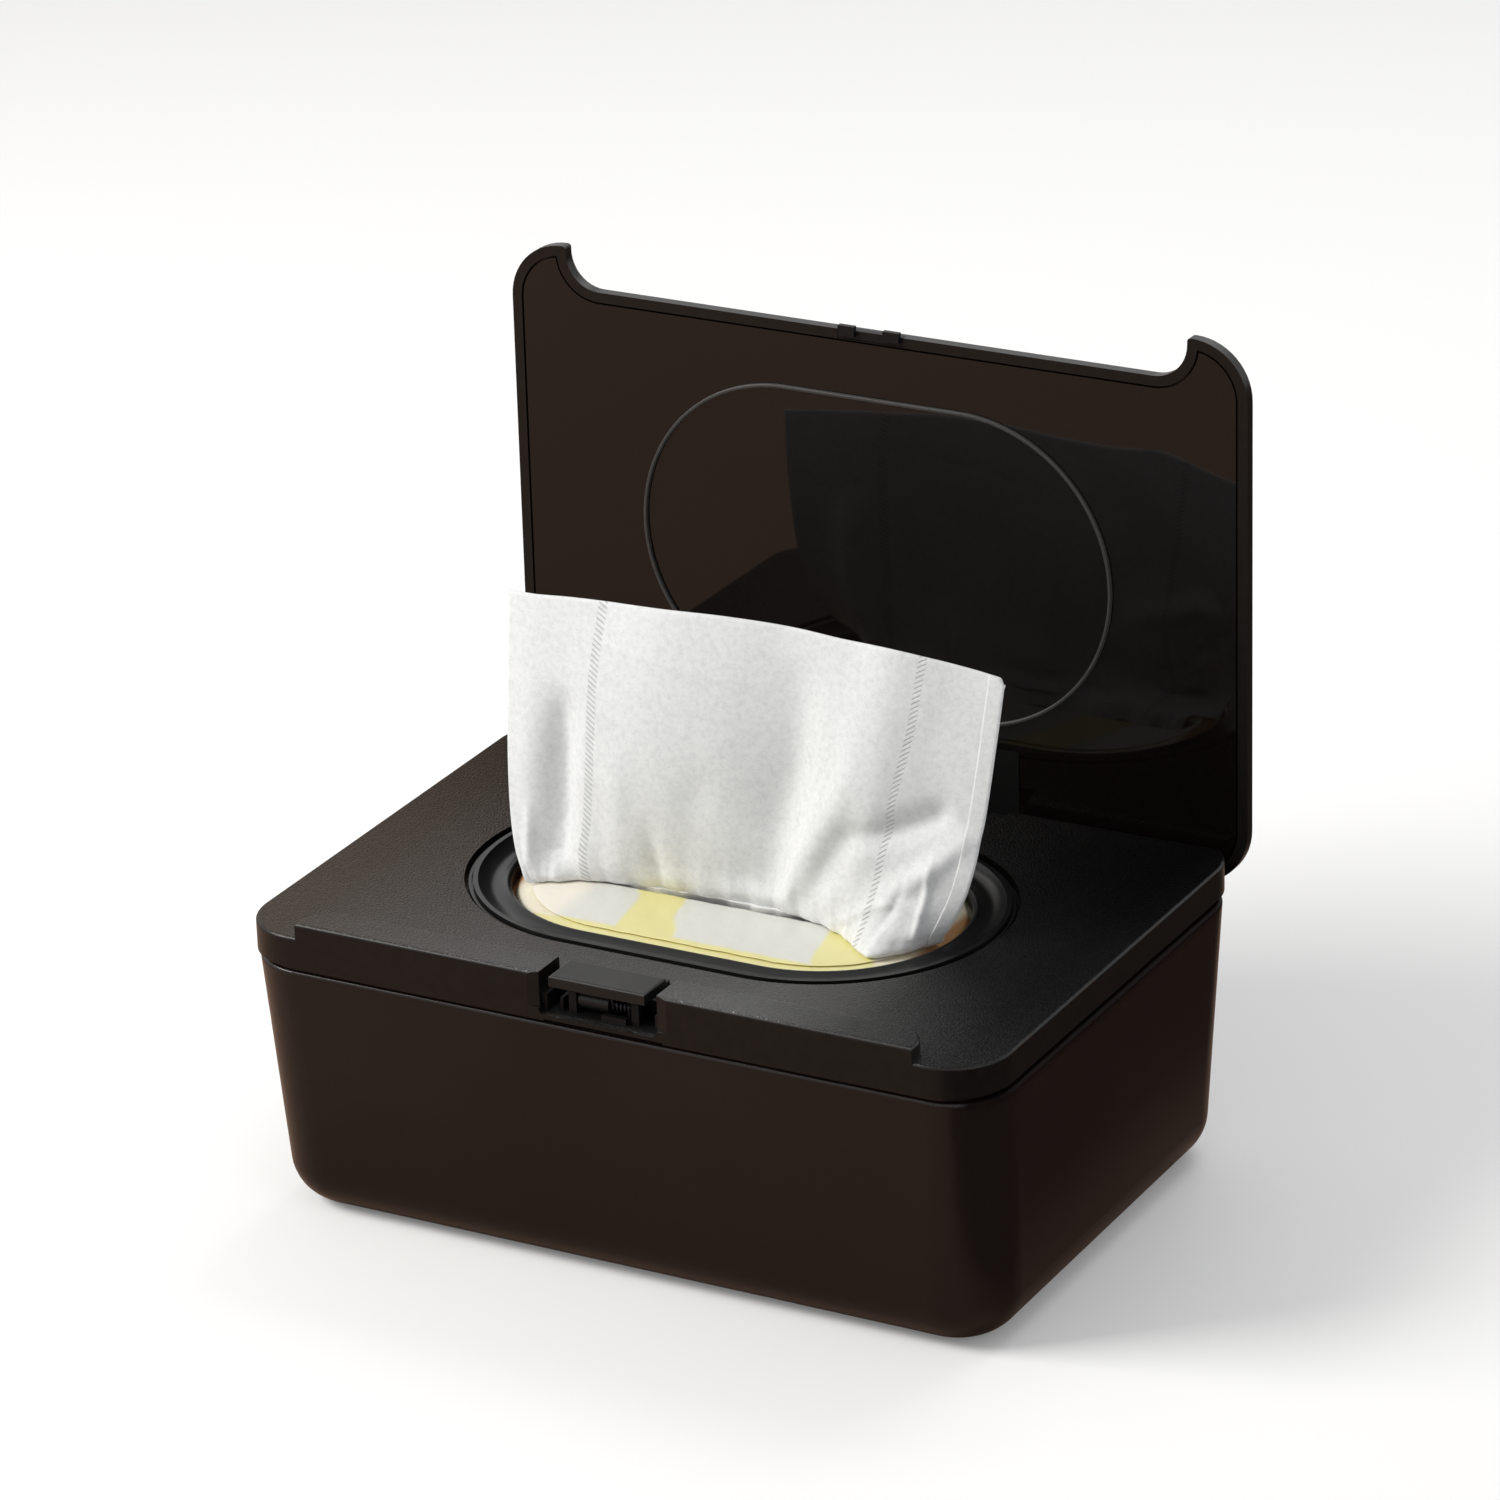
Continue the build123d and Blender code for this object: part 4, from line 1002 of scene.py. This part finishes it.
# Places in mm. Rows go up from the foot inside the slot, and columns from left to right.
left_to_right = {
    "x": [
        [-44, -42, -38, -33, -20, -6, 8, 21, 30, 36, 40, 44, 47],
        [-46.5, -45.5, -42, -36, -21.5, -6.5, 8.5, 23, 32, 38, 42, 46, 49],
        [-50.1, -48.2, -44.6, -38.1, -23.1, -7.6, 8.4, 23.4, 32.9, 38.9, 44.4, 50.9, 55.6],
        [-53, -50.2, -45.6, -38.3, -22.5, -7, 9, 24, 33.5, 39.8, 45.6, 52.2, 57.8],
        [-56.6, -52.6, -46.8, -38.8, -22.4, -6.8, 8.6, 23.9, 33.0, 40.4, 46.4, 53.6, 60.5],
        [-60.0, -54.4, -47.4, -38.2, -22.0, -5.9, 9.2, 23.1, 33.6, 41.1, 47.7, 55.5, 63.4],
        [-62.2, -55.7, -47.6, -37.8, -21.5, -4.8, 10.1, 24.2, 36.0, 43.1, 50.0, 57.3, 65.4],
        [-62.7, -55.6, -46.7, -37.2, -20.7, -3.9, 12.2, 26.9, 39.0, 47.4, 54.0, 60.7, 67.8],
        [-62.6, -54.5, -45.0, -34.6, -18.6, -1.4, 14.9, 30.0, 41.9, 50.6, 56.7, 62.9, 69.8],
    ],
    "y": [
        [-3, -1, -4, -1.5, -4, -1, -3.5, -1, -4, -1.5, -4, -1.5, -2],
        [-6, -5, -5.5, -5, -5.2, -4.2, -4.8, -4.5, -5.8, -6, -6, -5.6, -4],
        [-15.4, -13.4, -11.5, -7.9, -5.2, -4.5, -4.1, -6.9, -11.3, -15.9, -19.3, -13.9, -4.9],
        [-14.5, -13.4, -11.6, -9.2, -6.9, -6, -5.4, -8.4, -11.8, -15, -17.2, -14, -7],
        [-11, -11, -9.6, -8.8, -7.6, -6.4, -4.8, -9.2, -10.2, -11.8, -12.8, -11.4, -7],
        [-6.5, -7.6, -6.4, -7, -8, -6.6, -4.6, -6.6, -7.8, -7.6, -7.8, -7.4, -5],
        [-2.5, -4.2, -3.6, -5.4, -7, -5.6, -2.2, -4.2, -7, -5.6, -4, -2.4, -0.8],
        [0.6, -0.8, -1.6, -3, -4.8, -3.4, -0.6, -2, -4, -2.4, -0.6, 0.8, 2],
        [2, 0.6, 0, -0.6, -2, -1, 0.6, 0, -1.4, 0, 1.4, 2.4, 3],
    ],
    "z": [
        [70.2] * 13,
        [74.1, 74.1, 74.1, 74.1, 74.1, 74.1, 74.1, 74.1, 74.1, 74.1, 74.1, 74.1, 74.2],
        [74.4, 74.3, 74.3, 74.3, 74.3, 74.3, 74.3, 74.3, 74.3, 74.3, 74.3, 74.4, 74.6],
        [77.6] * 13,
        [82] * 13,
        [90] * 13,
        [104] * 13,
        [125] * 13,
        [142.3, 142.9, 143.9, 144.7, 145.8, 146.3, 145.8, 145.2, 145.5, 144.3, 143.2, 142.1, 140.9],
    ],
}
net = np.stack([np.array(left_to_right[axis], float) for axis in "xyz"], -1)
print("net of", net.shape[0], "rows by", net.shape[1], "columns")

# %% Folds and creases
# Each line has its points (x, z, strength), its height towards the front, and its width to
# each side, in mm. A strength below one lets a fold run out softly.
FOLD_LINES = [
    ([(-45.4, 122, 0), (-46.2, 113, 0.7), (-46.4, 103, 1), (-46, 89, 1), (-46, 75, 1)], -3.2, 4.2),
    ([(-54.9, 92, 0), (-53, 85, 1), (-50.6, 76, 1)], 1.4, 1.3),
    ([(18, 130, 0.4), (16.5, 110, 1), (13, 95, 1), (11.5, 82, 0.5)], -2.4, 6.0),
    ([(-4, 112, 0), (-9, 99, 1), (-9, 86, 0.2)], -0.8, 5.0),
    ([(-21.6, 95, 0), (-20.6, 88, 0.6), (-18.8, 76, 1)], -1.3, 2.3),
    ([(34, 128, 0.2), (32, 112, 0.8), (25, 98, 1), (19, 84, 1), (17, 78, 1)], 1.2, 4.0),
    ([(21, 97, 0), (16, 79, 1)], 0.8, 1.5),
    ([(36, 104, 0.3), (29, 92, 1), (21, 79, 1)], -1.7, 4.2),
    ([(33, 97, 0.4), (45, 101, 1), (54, 105, 1), (59, 107, 0)], -2.4, 3.4),
    ([(45, 86, 0.5), (54, 93, 1), (63, 101, 0.4)], 1.9, 2.6),
    ([(55.1, 98, 0), (54.6, 88, 1), (53.2, 76, 1)], 1.0, 0.9),
    ([(28, 75, 1), (39.8, 82.5, 1), (45, 84.8, 1), (54, 84, 0.5)], 0.5, 1.2),
    ([(49, 92, 0), (47, 84, 1), (43, 76, 0.6)], -0.8, 1.3),
    ([(-55, 135, 0), (-30, 134, 1), (-5, 131, 1), (20, 129, 0)], 0.22, 0.8),
    ([(35, 140, 0.4), (50, 124, 1), (62, 110, 0)], -0.8, 6.0),
    ([(-31, 112, 0), (-30, 100, 1), (-28, 78, 1)], 0.8, 4.0),
]


def pushed(points, line, height, width):
    """How far the places (x, z) are pushed: height times the line's strength times a bell
    curve of the distance to the line over its width, taken at the line's nearest point."""
    line = np.array(line, float)
    start, step = line[:-1, :2], np.diff(line[:, :2], axis=0)
    towards = points[..., None, :] - start
    share = np.clip((towards * step).sum(-1) / (step**2).sum(-1), 0, 1)
    gaps = np.linalg.norm(towards - share[..., None] * step, axis=-1)
    nearest = gaps.argmin(-1)[..., None]
    strength = np.take_along_axis(line[:-1, 2] + share * np.diff(line[:, 2]), nearest, -1)[..., 0]
    gap = np.take_along_axis(gaps, nearest, -1)[..., 0]
    return height * strength * np.exp(-((gap / width) ** 2))


print("fold lines", len(FOLD_LINES))

# %% [markdown]
# ## From net to sheet
#
# The sheet's middle surface comes first, with its folds, its rippled foot, its rounded corner
# and its hem. Half the cloth's thickness to each side of it then makes the front and the
# back. Each point also keeps its place on the flat sheet, for the bond marks.

# %% Sheet of the wipe
WIPE_ROWS, WIPE_COLUMNS = 170, 210
THICKNESS = 0.36
# The folds start above the ring, and the foot's ripples fade out over 7 mm.
FREE_FROM, FREE_OVER = 75.6, 5
FOOT_HEIGHT, FOOT_FADE = 74.5, 7
# Width of the hem, radius of its turn, its steps, and the share of them in the turn.
HEM, CURL, HEM_STEPS, TURN_SHARE = 3.6, 0.38, 13, 0.4
HEM_FRONT = np.array([0.35, -0.94, 0])
CORNER = 1.5


def rounding(inset):
    """How far the top edge drops at a distance inset from the right edge: a quarter circle."""
    share = np.clip(1 - inset / CORNER, 0, 1)
    return CORNER * (1 - np.sqrt(1 - share**2))


def folded_grid(flat):
    """The smooth net with its folds. They push it along y where it stands free, and fade out
    below, where two sines of the place across gather the foot into ripples."""
    grid = smooth(net, WIPE_ROWS)
    grid = np.moveaxis(smooth(np.moveaxis(grid, 1, 0), WIPE_COLUMNS), 0, 1)
    free = np.clip((grid[..., 2] - FREE_FROM) / FREE_OVER, 0, 1)
    for line, height, width in FOLD_LINES:
        grid[..., 1] -= free * pushed(grid[..., [0, 2]], line, height, width)
    gather = np.exp(-np.clip(grid[..., 2] - FOOT_HEIGHT, 0, None) / FOOT_FADE)
    ripple = 0.22 * np.sin(flat * 0.78 + 0.05 * grid[..., 2]) + 0.08 * np.sin(flat * 1.7 + 1)
    grid[..., 1] += ripple * gather
    return grid


def hem_grid(edge, outward):
    """Columns beyond the right edge: a half circle, with its sine along outward and one minus
    its cosine towards the front, and then straight back over the sheet. Also how far each
    column lies along the turn, from 0 to 1, and back from the edge."""
    turn = np.linspace(0, 1, HEM_STEPS + 1)[1:]
    arc = np.clip(turn / TURN_SHARE, 0, 1) * np.pi
    back = np.clip((turn - TURN_SHARE) / (1 - TURN_SHARE), 0, 1) * HEM
    sideways = outward * (CURL * np.sin(arc) - back)[None, :, None]
    forwards = HEM_FRONT * (CURL * (1 - np.cos(arc)))[None, :, None]
    return edge + sideways + forwards, turn, back


def wipe_sheet():
    """The middle surface of the wipe and the place of each point on the flat sheet. The top
    right corner of sheet and hem is rounded off over twice the corner's radius."""
    flat = smooth(across_sheet[:, None], WIPE_COLUMNS)[:, 0]
    grid = folded_grid(flat)
    up = np.linalg.norm(np.diff(grid, axis=0), axis=-1).mean(1)
    height = np.concatenate([[0], np.cumsum(up)])
    edge = grid[:, -1:, :]
    outward = edge - grid[:, -4:-3, :]
    outward /= np.linalg.norm(outward, axis=-1, keepdims=True)
    hem, turn, back = hem_grid(edge, outward)
    near_top = np.clip(1 - (height[-1] - height) / (2 * CORNER), 0, 1)[:, None]
    grid[..., 2] -= near_top * rounding(flat[-1] - flat)
    hem[..., 2] -= near_top * rounding(back)
    grid = np.concatenate([grid, hem], 1)
    flat = np.concatenate([flat, flat[-1] + turn * (HEM + np.pi * CURL)])
    marks = np.stack(np.broadcast_arrays(flat[None, :], height[:, None]), -1) * MM
    return grid, marks


def thick(grid, thickness):
    """The front and back of a sheet as flat rings: each point moves half the thickness along
    the unit normal, which is the cross product of the steps along rows and columns."""
    normal = np.cross(np.gradient(grid, axis=1), np.gradient(grid, axis=0))
    half = normal / np.linalg.norm(normal, axis=-1, keepdims=True) * thickness / 2
    return np.concatenate([grid + half, (grid - half)[:, ::-1]], 1)


sheet_grid, sheet_marks = wipe_sheet()
widths = np.linalg.norm(np.diff(sheet_grid, axis=1), axis=-1).sum(1)
print("sheet in mm", round(widths.max(), 1), "by", round(sheet_marks[-1, 0, 1] / MM, 1))

# %% Wipe in its place
# The flat size, in metres, is that of the cloth above the slot.
wipe_finish = nonwoven("soft_nonwoven_wipe", seam_places)
both_sides = np.concatenate([sheet_marks, sheet_marks[:, ::-1]], 1)
wipe = closed_skin(
    "popped_wipe_sheet", thick(sheet_grid, THICKNESS), "seam", wipe_finish, both_sides
)
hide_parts("popped_wipe")
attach(wipe, "cover")
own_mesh(wipe)
print("wipe faces", len(wipe.data.polygons))
